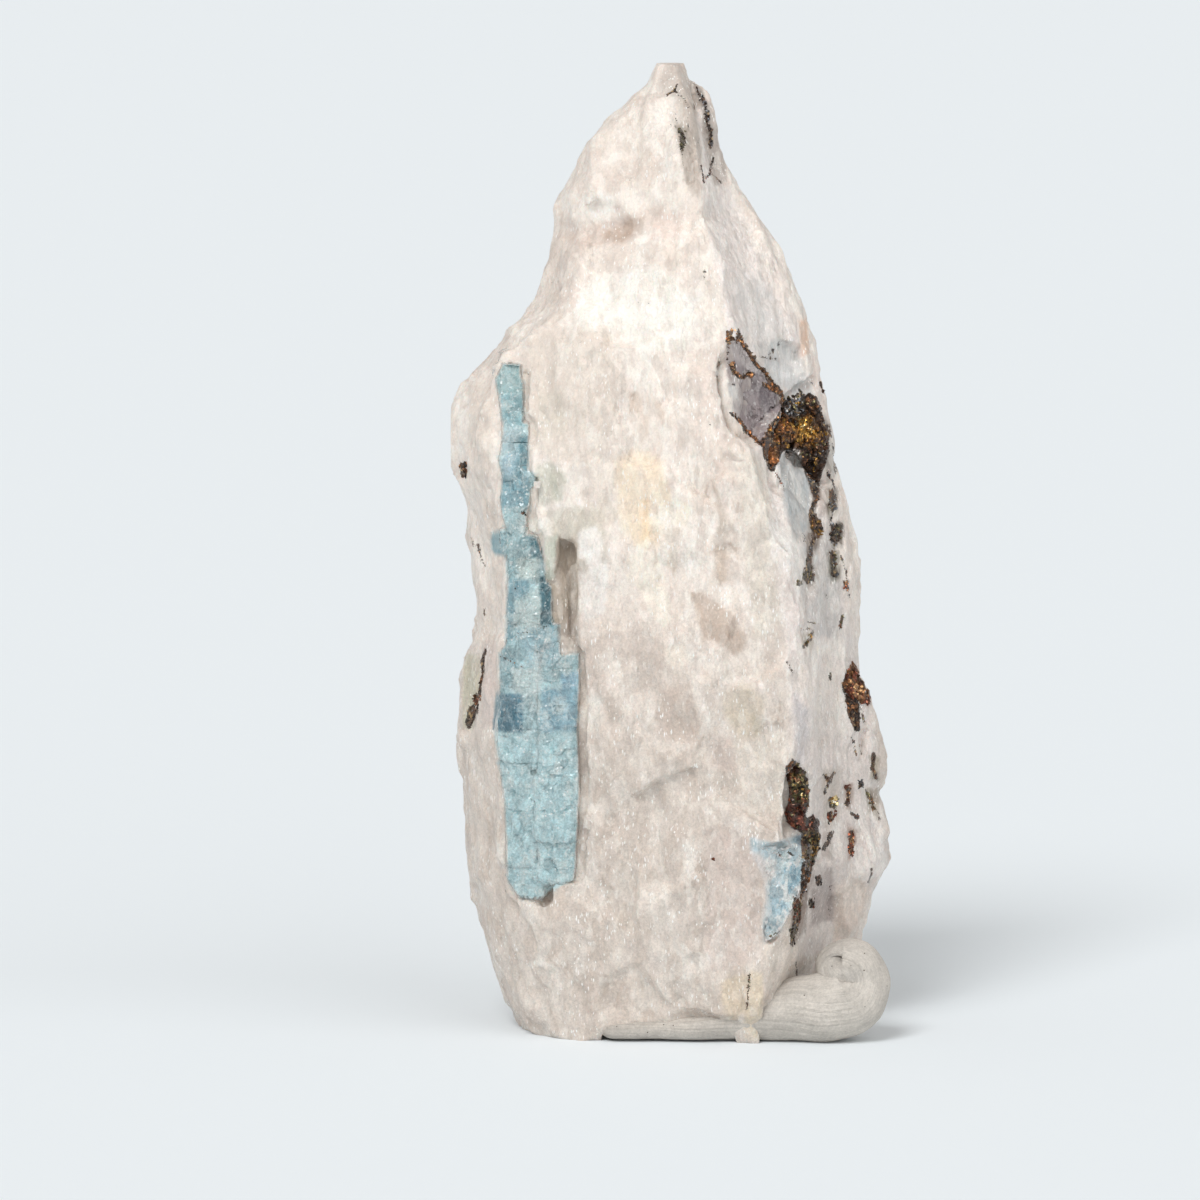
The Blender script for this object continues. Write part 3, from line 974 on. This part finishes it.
        (((468, 706), (474, 704), (472, 728), (466, 728)), 18, 0.1, 0.26, ("grey", "olive", "dark")),
    ), (
        (((486, 650), (483, 658), (483, 672), (480, 684), (479, 694)), 0.7, 0.4, 0.12, 0.28,
         ("black", "dark", "brown")),
        (((478, 706), (474, 716), (470, 727)), 0.8, 0.4, 0.12, 0.28, ("dark", "black")),
        (((478, 545), (481, 558), (484, 566)), 1.1, 0.5, 0.1, 0.2, ("brown", "dark")),
        (((472, 536), (474, 548)), 1.2, 0.4, 0.1, 0.2, ("grey", "dark")),
        (((485, 608), (484, 614)), 1.0, 0.4, 0.12, 0.2, ("dark",)),
    )),
    "micaTip": (("mica_seam_tip", "mica_blade_tip"), (
        (((695, 84), (699, 88), (706, 102), (706, 112), (702, 104)), 26, 0.12, 0.3,
         ("steel", "dark", "black")),
        (((704, 108), (709, 110), (710, 126), (705, 122)), 26, 0.14, 0.32, ("black", "steel", "dark")),
        (((678, 128), (685, 130), (686, 137), (684, 150), (681, 152), (679, 138)), 44, 0.12, 0.3,
         ("dark", "olive", "black")),
    ), (
        (((677, 84), (675, 91), (667, 95)), 0.6, 0.25, 0.1, 0.2, ("black", "dark")),
        (((675, 90), (679, 95), (684, 98), (688, 106), (688, 111)), 0.8, 0.3, 0.08, 0.18,
         ("dark", "steel", "olive")),
        (((708, 124), (711, 134), (711, 148)), 0.6, 0.5, 0.12, 0.26, ("black", "dark", "steel")),
        (((682, 150), (683, 166)), 0.8, 0.25, 0.08, 0.18, ("dark", "olive")),
        (((701, 165), (704, 183), (710, 172), (713, 158)), 0.55, 0.35, 0.12, 0.24,
         ("black", "dark", "brown")),
        (((709, 173), (717, 178), (721, 184)), 0.7, 0.25, 0.08, 0.18, ("dark", "brown")),
        (((699, 138), (698, 144)), 0.8, 0.3, 0.08, 0.14, ("dark",)),
        (((676, 112), (677, 124)), 2.2, 0.4, 0.1, 0.2, ("dark", "black")),
        (((688, 118), (688, 126)), 1.8, 0.5, 0.08, 0.16, ("olive", "dark")),
        (((694, 104), (695, 110)), 1.2, 0.3, 0.1, 0.18, ("dark",)),
        (((670, 124), (677, 128)), 1.2, 0.8, 0.08, 0.18, ("olive", "grey")),
        (((704, 270), (704, 278)), 1.0, 0.3, 0.08, 0.16, ("olive",)),
    )),
    "micaBlue": ((), (), (
        (((516, 636), (524, 632), (533, 633), (544, 627), (559, 624)), 1.2, 0.6, 0.08, 0.18,
         ("olive", "brown")),
        (((501, 656), (510, 661), (516, 664), (524, 668)), 1.1, 0.6, 0.08, 0.2, ("olive", "brown")),
        (((521, 512), (525, 515)), 0.7, 0.5, 0.16, 0.26, ("black", "dark")),
        (((514, 586), (517, 590)), 1.2, 0.6, 0.08, 0.18, ("dark",)),
    )),
}


def lineDistance(u, v, line):
    # Distance in pixels to a bent line.
    nearest = np.full(u.shape, 1e9)
    for (ax, ay), (bx, by) in zip(line, line[1:]):
        dx, dy = bx - ax, by - ay
        t = np.clip(((u - ax) * dx + (v - ay) * dy) / (dx * dx + dy * dy + 1e-9), 0, 1)
        nearest = np.minimum(nearest, np.hypot(u - ax - t * dx, v - ay - t * dy))
    return nearest


def micaShares(places, normals):
    # How much mica is in the surface at each place that the picture sees, from 0 to 1.
    shares = np.zeros(len(places))
    toEye = eye - places
    seen = np.flatnonzero((toEye * normals).sum(1) > 0.03 * np.linalg.norm(toEye, axis=1))
    spots = places[seen]
    u, v = pixelsOf(spots)
    u = u + 1.2 * softNoise(spots, 0.7, 15)
    v = v + 1.2 * softNoise(spots, 0.7, 35)
    found = np.zeros(len(seen))
    for groupName, (_, groupAreas, groupLines) in scaleGroups.items():
        if groupName == "micaBlue":
            continue
        for outline, count, small, large, tints in groupAreas:
            found = np.maximum(found, 0.95 * np.clip(insideness(u, v, outline) / 4.0 + 0.5, 0, 1))
        for line, step, spread, small, large, tints in groupLines:
            width = max(1.5, large * 6.0 + spread)
            strength = 0.85 if large > 0.25 else 0.6
            share = np.clip((width - lineDistance(u, v, line)) / 2.5 + 0.5, 0, 1)
            found = np.maximum(found, strength * share)
    for outline in (upperOutline, lowerOutline):
        found = np.maximum(found, np.clip(insideness(u, v, outline) / 4.0 + 0.5, 0, 1))
    shares[seen] = found
    return shares


def flattened(places, normals, share):
    # Takes out this share of the front's relief, measured from a smooth curved sheet.
    front = normals[:, 1] < -0.15
    x, z = places[:, 0], places[:, 2] / 20.0
    terms = np.stack((np.ones_like(x), x, z, z * z, z ** 3, z ** 4, x * z), axis=1)
    fit, _, _, _ = np.linalg.lstsq(terms[front], places[front, 1], rcond=None)
    places[front, 1] += share * (terms[front] @ fit - places[front, 1])
    return places


def evened(piece, values, rounds):
    # Averages a value of each vertex with its neighbours.
    ends = np.empty(len(piece.data.edges) * 2, np.int64)
    piece.data.edges.foreach_get("vertices", ends)
    first, second = ends[0::2], ends[1::2]
    count = np.bincount(ends, minlength=len(values)) + 1.0
    for _ in range(rounds):
        total = values + np.bincount(first, values[second], len(values))
        total += np.bincount(second, values[first], len(values))
        values = total / count
    return values


def makeFillings():
    # Copies of the pieces whose hollows are filled, and the added lumps of rock.
    extras = []
    for nodeName, (right, back) in rockLook["filled"].items():
        filler = copyOfNode(nodeName, "filler")
        grow = rockLook["fillingGrows"]
        if nodeName == "aquamarine_main":
            remeshed(filler, rockLook["voxel"])
            grow = np.array(rockLook["prismFillingGrows"])
        places, normals = placesOf(filler)
        if nodeName == "aquamarine_main":
            places = flattened(places, normals, crystalLook["flatten"])
        movePlaces(filler, places + grow * normals + (right, back, 0.0))
        extras.append(filler)
    lumps = [(True, corners) for corners in rockLook["added"]] + [(False, rockLook["hollowFloor"])]
    for isRound, corners in lumps:
        low, high = (Vector(corner) * mm for corner in corners)
        where = {"location": (low + high) / 2, "scale": high - low}
        bpy.ops.object.select_all(action="DESELECT")
        if isRound:
            bpy.ops.mesh.primitive_ico_sphere_add(subdivisions=3, radius=0.5, **where)
        else:
            bpy.ops.mesh.primitive_cube_add(size=1, **where)
        bpy.ops.object.transform_apply(location=True, rotation=False, scale=True)
        extras.append(bpy.context.active_object)
    return extras


def wearBehind(rock):
    # The hidden side is worn softer and then broken into larger faces.
    places, normals = placesOf(rock)
    soft = places.copy()
    for axis in range(3):
        soft[:, axis] = evened(rock, places[:, axis], rockLook["backRounds"])
    behind = evened(rock, np.clip((normals[:, 1] - 0.15) / 0.35, 0, 1), 25)
    soft[:, 2] = np.where(places[:, 2] < 1.0, places[:, 2], soft[:, 2])
    movePlaces(rock, places + behind[:, None] * (soft - places))
    places, normals = placesOf(rock)
    larger = evened(rock, facets(places, rockLook["backBlades"]), 5)
    larger = larger + rockLook["backRelief"] * softNoise(places, 4.5, 53)
    larger = (larger - rockLook["backSinks"]) * behind * np.clip(places[:, 2] / 1.5, 0, 1)
    movePlaces(rock, places + normals * larger[:, None])


def breakUp(rock):
    # Broken grains all over, fainter high up and none at the flat foot. Gives back the normals
    # from before the break.
    places, normals = placesOf(rock)
    move = evened(rock, facets(places, rockLook["blades"][:1]), 6)
    move += evened(rock, facets(places, rockLook["blades"][1:]), 1)
    move += 0.1 * softNoise(places, 2.4, 1) + 0.03 * softNoise(places, 0.7, 2)
    high = np.clip((places[:, 2] - rockLook["calmAbove"]) / 6.0, 0, 1)
    move *= 1.0 - (1.0 - rockLook["calmShare"]) * high
    move *= np.clip(places[:, 2] / 0.8, 0, 1)
    places = places + normals * move[:, None]
    left, right, top = rockLook["reach"]
    places[:, 0] = np.clip(places[:, 0], left, right)
    places[:, 2] = np.minimum(places[:, 2], top)
    movePlaces(rock, places)
    return normals


def thinRock(rock, normals):
    # Half of the triangles that are too many go from the hidden side, then half from all over.
    rock.data.calc_loop_triangles()
    count = len(rock.data.loop_triangles)
    print("rock remeshed:", count, "triangles")
    if count <= rockLook["mostTriangles"]:
        return
    back = rock.vertex_groups.new(name="back")
    back.add(np.flatnonzero(normals[:, 1] > 0.35).tolist(), 1.0, "REPLACE")
    half = (count + rockLook["mostTriangles"]) / 2
    applied(rock, "DECIMATE", ratio=half / count, vertex_group="back", vertex_group_factor=1.0)
    applied(rock, "DECIMATE", ratio=rockLook["mostTriangles"] / half)
    rock.vertex_groups.clear()


def coloursOfRock(places, normals):
    share = np.clip((places[:, 2] - 15.0) / 13.0 + 0.15 * softNoise(places, 3.0, 4), 0, 1)[:, None]
    share = share * share * (3 - 2 * share)
    colours = linear(rockLook["plainLow"]) * (1 - share) + linear(rockLook["plainHigh"]) * share
    colours = colours * (1 + 0.05 * softNoise(places, 5.0, 6))[:, None]
    strength = rockLook["grainStrength"]
    for size, seed in rockLook["grains"]:
        dice, _, border = grains(places, size, seed, 0.5)
        rims = rockLook["rimStrength"] * np.exp(-border / 0.07) * (dice[1] > 0.4)
        colours = laidOver(colours, strength * np.clip((dice[0] - 0.72) / 0.06, 0, 1), rockLook["white"])
        colours = laidOver(colours, strength * np.clip((0.26 - dice[0]) / 0.06, 0, 1), rockLook["clear"])
        colours = laidOver(colours, rims, rockLook["white"])
    plain = colours.copy()
    paintAreas(colours, places, normals, rockAreas, rockLook["wobble"])
    behind = np.clip((normals[:, 1] - 0.05) / 0.2, 0, 1)
    for size, seed in rockLook["backPatches"]:
        dice, _, _ = grains(places, size, seed, 0.5)
        white = 0.75 * behind * np.clip((dice[0] - 0.62) / 0.05, 0, 1)
        clear = 0.7 * behind * np.clip((0.3 - dice[0]) / 0.05, 0, 1)
        colours = laidOver(laidOver(colours, white, rockLook["white"]), clear, rockLook["backClear"])
    colours = np.clip(plain + rockLook["paintStrength"] * (colours - plain), 0.004, 1.0)
    colours = colours * (rockLook["footShade"] + (1 - rockLook["footShade"]) * share)
    colours = colours * (1 - 0.3 * (1 - share) * (1 - np.array(rockLook["warmth"]))) * rockLook["warmth"]
    for areas, outline, base in (
            (berylAreas, prismOutline, crystalLook["prismPlain"]),
            (patchAreas, patchOutline, crystalLook["patchPlain"]),
            (smokyAreas, smokyOutline, crystalLook["smokyPlain"])):
        whole = (((0, 0), (1200, 0), (1200, 1200), (0, 1200)), base, 1.0, 1)
        paintAreas(colours, places, normals, (whole,) + areas, 1.0, outline)
    return colours


def makeRock():
    rock = copyOfNode("matrix_rock", "rock")
    extras = makeFillings()
    onlyThis(rock)
    for extra in extras:
        extra.select_set(True)
    bpy.ops.object.join()
    remeshed(rock, rockLook["voxel"])
    wearBehind(rock)
    thinRock(rock, breakUp(rock))
    places, normals = placesOf(rock)
    storeColours(rock, coloursOfRock(places, normals), micaShares(places, normals))
    finished(rock, "matrix_rock", materials["quartz"], 35)
    return rock


rock = makeRock()
print("rock made:", len(rock.data.polygons), "faces")


# The blue prisms, the blue patch and the smoky window.


def sunk(places, outline, depth=1.3):
    # Pushes what lies outside an outline back into the rock.
    u, v = pixelsOf(places)
    outside = np.clip(-insideness(u, v, outline) / 3.0, 0, 1)
    return places + outside[:, None] * (0.0, depth, 0.0)


def makeCrystal(nodeName, pieceName, materialName, plain, areas, outline, shift, depth, granules):
    # A crystal set back by `shift` mm and broken into small faces. Outside its outline it has the
    # colour of the rock and sinks by `depth` mm. Some of its grains are white.
    piece = copyOfNode(nodeName, pieceName)
    remeshed(piece, crystalLook["voxel"])
    places, normals = placesOf(piece)
    relief = normals * facets(places, crystalLook["faces"])[:, None]
    if nodeName == "aquamarine_main":
        relief += crystalLook["prismGrows"] * normals * (1.0, 0.0, 1.0)
    places = flattened(places, normals, crystalLook["flatten"]) + relief + (0.0, shift, 0.0)
    movePlaces(piece, sunk(places, outline, depth))
    thinned(piece, crystalLook["mostTriangles"])
    places, normals = placesOf(piece)
    colours = np.tile(linear(plain), (len(places), 1))
    dice, _, _ = grains(places, (0.6, 0.6, 0.8), 33, 0.5)
    paintAreas(colours, places, normals, areas, 2.0)
    colours = colours * (0.84 + 0.32 * dice[0])[:, None]
    dice, _, _ = grains(places, (0.28, 0.28, 0.34), 36, 0.5)
    white = granules * np.clip((dice[0] - 0.6) / 0.1, 0, 1)
    colours = laidOver(colours, white, crystalLook["whiteGrain"])
    u, v = pixelsOf(places)
    u = u + 1.0 * softNoise(places, 0.5, 41) + 0.8 * softNoise(places, 1.4, 42)
    outside = np.clip(0.5 - insideness(u, v, outline) / 2.0, 0, 1)
    colours = laidOver(colours, outside, crystalLook["edge"])
    storeColours(piece, colours, micaShares(places, normals))
    finished(piece, nodeName, materials[materialName])
    return piece


bluePrism = makeCrystal(
    "aquamarine_main", "bluePrism", "beryl", crystalLook["prismPlain"], berylAreas,
    prismOutline, shift=0.3, depth=0.7, granules=0.12)
bluePatch = makeCrystal(
    "aquamarine_patch", "bluePatch", "beryl", crystalLook["patchPlain"], patchAreas,
    patchOutline, shift=-0.05, depth=1.3, granules=0.75)
smokyWindow = makeCrystal(
    "smoky_quartz", "smokyWindow", "smoky", crystalLook["smokyPlain"], smokyAreas,
    smokyOutline, shift=0.35, depth=1.3, granules=0.1)
print("crystals made")


# The mica.

micaTints = {
    "black": (38, 30, 26),
    "dark": (62, 46, 36),
    "brown": (104, 72, 48),
    "orange": (160, 106, 66),
    "tan": (150, 112, 78),
    "gold": (150, 112, 52),
    "glint": (228, 204, 148),
    "silver": (206, 202, 186),
    "steel": (96, 98, 102),
    "grey": (132, 128, 124),
    "olive": (92, 86, 60),
    "rust": (112, 64, 46),
}
upperAreas = (
    (((784, 400), (806, 396), (806, 420), (784, 418)), (70, 66, 64), 0.9, 3),
    (((790, 418), (812, 414), (822, 432), (818, 446), (796, 446)), (120, 84, 40), 0.9, 4),
    (((800, 420), (811, 419), (812, 438), (801, 437)), (168, 128, 58), 0.9, 3),
    (((762, 434), (778, 432), (779, 454), (772, 472), (764, 458)), (168, 112, 70), 0.95, 2),
    (((770, 418), (792, 416), (794, 436), (776, 436)), (122, 82, 48), 0.9, 3),
    (((782, 450), (800, 448), (802, 466), (784, 466)), (150, 146, 142), 0.8, 3),
)
lowerAreas = (
    (((786, 762), (795, 762), (798, 786), (788, 786)), (104, 64, 44), 0.9, 3),
    (((792, 772), (808, 775), (810, 806), (792, 802)), (92, 84, 52), 0.9, 3),
    (((784, 804), (808, 806), (806, 832), (784, 826)), (88, 48, 36), 0.9, 3),
    (((802, 830), (820, 832), (816, 858), (804, 858)), (98, 86, 58), 0.9, 3),
)


micaLook = {
    "voxel": 0.09,
    "mostTriangles": 30000,
    "layers": (((0.8, 0.8, 0.9), 0.16, 0.3, 51), ((0.35, 0.35, 0.45), 0.08, 0.16, 52)),
    "proud": 0.12,  # how far the relief stands out, and how far the lump is set back, in mm
    "setBack": 0.3,
    "hiddenGroups": 46,  # groups of grains on the sides that the picture doesn't show
    "biggestGroup": 14,
}


def makeMicaLump(nodeName, pieceName, plain, areas, outline):
    # A lump of mica broken into small faces and painted grain by grain.
    piece = copyOfNode(nodeName, pieceName)
    remeshed(piece, micaLook["voxel"])
    places, normals = placesOf(piece)
    relief = normals * (facets(places, micaLook["layers"]) + micaLook["proud"])[:, None]
    movePlaces(piece, sunk(places + relief + (0.0, micaLook["setBack"], 0.0), outline))
    thinned(piece, micaLook["mostTriangles"])
    places, normals = placesOf(piece)
    colours = np.tile(linear(plain), (len(places), 1))
    paintAreas(colours, places, normals, areas, 1.5)
    dice, _, _ = grains(places, (0.4, 0.4, 0.5), 61, 0.5)
    storeColours(piece, colours * (0.35 + 1.1 * dice[0])[:, None])
    finished(piece, nodeName, materials["mica"])
    return piece


upperLump = makeMicaLump("mica_cluster_upper", "micaLumpUpper", (66, 46, 34), upperAreas, upperOutline)
lowerLump = makeMicaLump("mica_cluster_lower", "micaLumpLower", (62, 42, 34), lowerAreas, lowerOutline)


def modelFlake():
    # One thin scale, 1 mm across and narrower on top, modelled once and then stamped many times.
    bpy.ops.object.select_all(action="DESELECT")
    bpy.ops.mesh.primitive_cylinder_add(vertices=5, radius=0.5, depth=0.22)
    flake = bpy.context.active_object
    for vertex in flake.data.vertices:
        vertex.select = vertex.co.z > 0
    bpy.ops.object.mode_set(mode="EDIT")
    bpy.ops.mesh.select_mode(type="VERT")
    bpy.ops.transform.resize(value=(0.7, 0.8, 1.0))
    bpy.ops.object.mode_set(mode="OBJECT")
    corners = np.array([v.co[:] for v in flake.data.vertices])
    faces = [tuple(face.vertices) for face in flake.data.polygons]
    bpy.data.objects.remove(flake)
    return corners, faces


flakeCorners, flakeFaces = modelFlake()


def stampFlakes(pieceName, nodeNames, flakes):
    # One piece of many flakes, each (place, normal, size, colour).
    dice = random.Random(len(flakes))
    points, faces, colours = [], [], []
    for place, normal, size, colour in flakes:
        start = len(points) * len(flakeCorners)
        lean = Vector([dice.uniform(-0.6, 0.6) for _ in range(3)])
        turn = (Vector(normal) + lean).to_track_quat("Z", "Y").to_matrix()
        spin = Matrix.Rotation(dice.uniform(0, 6.3), 3, "Z")
        wide, narrow, thick = dice.uniform(0.7, 1.7), dice.uniform(0.35, 0.9), dice.uniform(0.4, 1.5)
        stretch = Matrix.Diagonal((size * wide, size * narrow, size * thick))
        form = np.array(turn @ spin @ stretch)
        jag = 1 + 0.45 * np.random.default_rng(start + 1).uniform(-1, 1, (len(flakeCorners), 3))
        points.append(np.array(place) + (flakeCorners * jag) @ form.T)
        faces += [tuple(start + i for i in face) for face in flakeFaces]
        tint = linear(colour) * dice.uniform(0.6, 1.4)
        colours.append(np.tile(tint, (len(flakeCorners), 1)))
    mesh = bpy.data.meshes.new(pieceName)
    mesh.from_pydata(np.concatenate(points) * mm, [], faces)
    piece = bpy.data.objects.new(pieceName, mesh)
    bpy.context.scene.collection.objects.link(piece)
    storeColours(piece, np.concatenate(colours))
    finished(piece, None, materials["mica"])
    for nodeName in nodeNames:
        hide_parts(nodeName)
    return piece


def inOutline(outline, count, dice):
    # Random pixels inside an outline.
    corners = np.array(outline, float)
    low, high = corners.min(0), corners.max(0)
    found = []
    while len(found) < count:
        u, v = dice.uniform(low[0], high[0]), dice.uniform(low[1], high[1])
        if insideness(np.array([u]), np.array([v]), outline)[0] > 0:
            found.append((u, v))
    return found


def onLine(line, step, spread, dice):
    # Pixels along a bent line, with a little scatter.
    found = []
    for (ax, ay), (bx, by) in zip(line, line[1:]):
        count = max(1, int(math.hypot(bx - ax, by - ay) / step))
        for n in range(count):
            t = (n + dice.random()) / count
            u = ax + (bx - ax) * t + dice.gauss(0, spread)
            v = ay + (by - ay) * t + dice.gauss(0, spread)
            found.append((u, v))
    return found


# Single specks: pixel, size in mm, and tint.
specks = (
    (593, 180, 0.12, "dark"), (671, 206, 0.12, "dark"), (638, 303, 0.13, "steel"), (648, 303, 0.13, "steel"),
    (657, 238, 0.1, "rust"), (523, 398, 0.12, "dark"), (713, 859, 0.28, "rust"), (713, 717, 0.12, "rust"),
    (611, 432, 0.1, "dark"), (528, 374, 0.12, "brown"), (710, 425, 0.16, "steel"), (726, 468, 0.1, "rust"),
    (614, 468, 0.1, "rust"), (466, 432, 0.1, "dark"), (552, 282, 0.1, "dark"), (630, 262, 0.08, "dark"),
    (634, 341, 0.08, "dark"), (754, 320, 0.1, "dark"), (475, 489, 0.12, "olive"), (602, 260, 0.08, "brown"),
    (660, 255, 0.08, "brown"), (758, 651, 0.12, "dark"), (747, 677, 0.1, "rust"), (703, 737, 0.1, "dark"),
    (593, 572, 0.12, "dark"), (630, 180, 0.08, "dark"), (690, 300, 0.08, "brown"), (585, 230, 0.08, "dark"),
    (812, 626, 0.1, "dark"), (765, 866, 0.1, "dark"),
)


def placeScales():
    dice = random.Random(5)
    tree = treeOf([rock, bluePrism, bluePatch, smokyWindow, upperLump, lowerLump])

    def lay(flakes, u, v, size, tint):
        place, normal = seenAt(u, v, tree)
        if place is not None and place.z > 0.2:
            flakes.append((place - normal * 0.02, normal, size, micaTints[tint]))

    for pieceName, (nodeNames, areas, lines) in scaleGroups.items():
        flakes = []
        for outline, count, small, large, tints in areas:
            for u, v in inOutline(outline, count, dice):
                lay(flakes, u, v, dice.uniform(small, large), dice.choice(tints))
        for line, step, spread, small, large, tints in lines:
            for u, v in onLine(line, step, spread, dice):
                lay(flakes, u, v, dice.uniform(small, large), dice.choice(tints))
        stampFlakes(pieceName, nodeNames, flakes)
    flakes = []
    for u, v, size, tint in specks:
        lay(flakes, u, v, size, tint)
        lay(flakes, u + 0.8, v + 0.5, size * 0.7, tint)
    # The back and the sides that the picture doesn't show carry a few grains as well.
    places, normals = placesOf(rock)
    hidden = np.flatnonzero((normals[:, 1] > 0.75) & (places[:, 2] > 3))
    for spot in [dice.choice(hidden) for _ in range(micaLook["hiddenGroups"])]:
        for _ in range(dice.randint(2, micaLook["biggestGroup"])):
            away = Vector((dice.gauss(0, 0.3), dice.gauss(0, 0.3), dice.gauss(0, 0.9)))
            place, normal, _, _ = tree.find_nearest(Vector(places[spot]) + away)
            if normal.y < 0.55:
                continue
            tint = dice.choice(("dark", "brown", "rust", "steel", "olive"))
            flakes.append((place - normal * 0.02, normal, dice.uniform(0.15, 0.5), micaTints[tint]))
    stampFlakes("micaSpecks", (), flakes)


placeScales()
print("mica made")


# The roll of putty.

puttyLook = {
    # centre line of the roll with its radius, and how much deeper than tall it is
    "path": (
        (-4.1, -5.6, 0.6, 0.55, 2.4), (-2.4, -5.6, 0.68, 0.65, 2.3), (-0.6, -5.6, 0.75, 0.7, 2.2),
        (1.4, -5.7, 0.85, 0.85, 2.0), (3.2, -5.7, 1.15, 1.15, 1.5),
        (5.2, -5.8, 1.5, 1.5, 1.2), (7.4, -6.0, 1.85, 1.88, 1.05), (9.2, -6.3, 2.05, 2.05, 1.0),
        (10.6, -6.25, 2.6, 2.1, 1.0), (11.05, -6.1, 3.5, 1.8, 1.0), (10.65, -6.05, 4.25, 1.78, 1.0),
        (10.0, -5.95, 4.4, 1.5, 1.0), (9.85, -6.2, 4.15, 1.25, 1.0), (10.2, -6.65, 4.0, 1.1, 1.0),
        (10.7, -6.95, 4.15, 0.9, 1.0), (10.85, -6.95, 4.55, 0.75, 1.0),
    ),
    "twist": 3.2,
    "sides": 56,
    "rings": 240,
}


def makePuttyRoll():
    # A straight roll with rings, bent onto its path.
    bpy.ops.object.select_all(action="DESELECT")
    bpy.ops.mesh.primitive_cylinder_add(
        vertices=puttyLook["sides"], radius=1.0, depth=1.0, end_fill_type="TRIFAN")
    roll = bpy.context.active_object
    roll.name = roll.data.name = "puttyRoll"
    bpy.ops.object.mode_set(mode="EDIT")
    bpy.ops.mesh.select_mode(type="EDGE")
    bpy.ops.mesh.select_all(action="DESELECT")
    bpy.ops.object.mode_set(mode="OBJECT")
    heights = [v.co.z for v in roll.data.vertices]
    for edge in roll.data.edges:
        edge.select = abs(heights[edge.vertices[0]] - heights[edge.vertices[1]]) > 0.5
    bpy.ops.object.mode_set(mode="EDIT")
    bpy.ops.mesh.subdivide(number_cuts=puttyLook["rings"])
    bpy.ops.object.mode_set(mode="OBJECT")
    knots = [np.array(p) for p in puttyLook["path"]]
    count = len(knots) - 1

    def onPath(t):
        # Smooth point, radius and depth along the path.
        n = min(int(t * count), count - 1)
        f = t * count - n
        a, b, c, d = (knots[max(0, min(count, n + k))] for k in (-1, 0, 1, 2))
        bend, twist = 2 * a - 5 * b + 4 * c - d, 3 * b - a - 3 * c + d
        return 0.5 * (2 * b + (c - a) * f + bend * f * f + twist * f ** 3)

    for vertex in roll.data.vertices:
        t = min(1.0, max(0.0, vertex.co.z + 0.5))
        knot = onPath(t)
        place, radius = Vector(knot[:3]), knot[3]
        along = Vector((onPath(min(1.0, t + 0.004)) - onPath(max(0.0, t - 0.004)))[:3]).normalized()
        side = (Vector((0, 1, 0)) - along * along.y).normalized()
        up = along.cross(side)
        radius *= math.sqrt(max(0.0, 1 - (1 - min(1.0, min(t, 1 - t) / 0.035)) ** 2))
        turn = Matrix.Rotation(puttyLook["twist"] * t, 2) @ Vector(vertex.co[:2])
        offset = (side * turn.x * knot[4] + up * turn.y) * radius
        at = place + offset * (1 + 0.05 * noise.noise((place + offset) * 0.7))
        at.z = max(at.z, 0.0)
        vertex.co = at * mm
    finished(roll, "putty_roll", materials["putty"], 60)
    return roll


puttyRoll = makePuttyRoll()
print("putty made")


# The floor, the light and the camera.

stageLook = {
    "floorColour": (236, 242, 246),
    "worldColour": (1.0, 0.985, 0.965),
    "worldStrength": 0.5,
    # lights: name, strength, softness and turn in degrees
    "suns": (
        ("keySun", 1.65, 24.0, (44.0, 0.0, -24.0)),  # front, upper left
        ("fillSun", 0.65, 60.0, (62.0, 0.0, 45.0)),  # front right
    ),
}

bpy.ops.object.select_all(action="DESELECT")
bpy.ops.mesh.primitive_plane_add(size=9.0, location=(0, 0, 0))
floor = bpy.context.active_object
floor.name = "floor"
floorMaterial, _, _ = newMaterial("pale floor", Roughness=0.9, Base_Color=rgba(stageLook["floorColour"]))
floorMaterial.node_tree.nodes["Principled BSDF"].inputs["Specular IOR Level"].default_value = 0.1
floor.data.materials.append(floorMaterial)

world = bpy.data.worlds.new("studio")
bpy.context.scene.world = world
world.use_nodes = True
background = world.node_tree.nodes["Background"]
background.inputs["Color"].default_value = (*stageLook["worldColour"], 1.0)
background.inputs["Strength"].default_value = stageLook["worldStrength"]

for sunName, strength, softness, turn in stageLook["suns"]:
    bpy.ops.object.light_add(type="SUN", location=(0, -1, 2))
    sun = bpy.context.active_object
    sun.name = sunName
    sun.data.energy = strength
    sun.data.angle = math.radians(softness)
    sun.rotation_euler = [math.radians(a) for a in turn]

bpy.ops.object.camera_add(location=[c * mm for c in eye], rotation=(math.pi / 2 - tilt, 0, 0))
camera = bpy.context.active_object
camera.data.lens = picture["lens"]
camera.data.sensor_width = picture["sensor"]
camera.data.clip_start = 0.01
camera.data.clip_end = 30
bpy.context.scene.camera = camera
bpy.context.scene.view_settings.view_transform = "Standard"
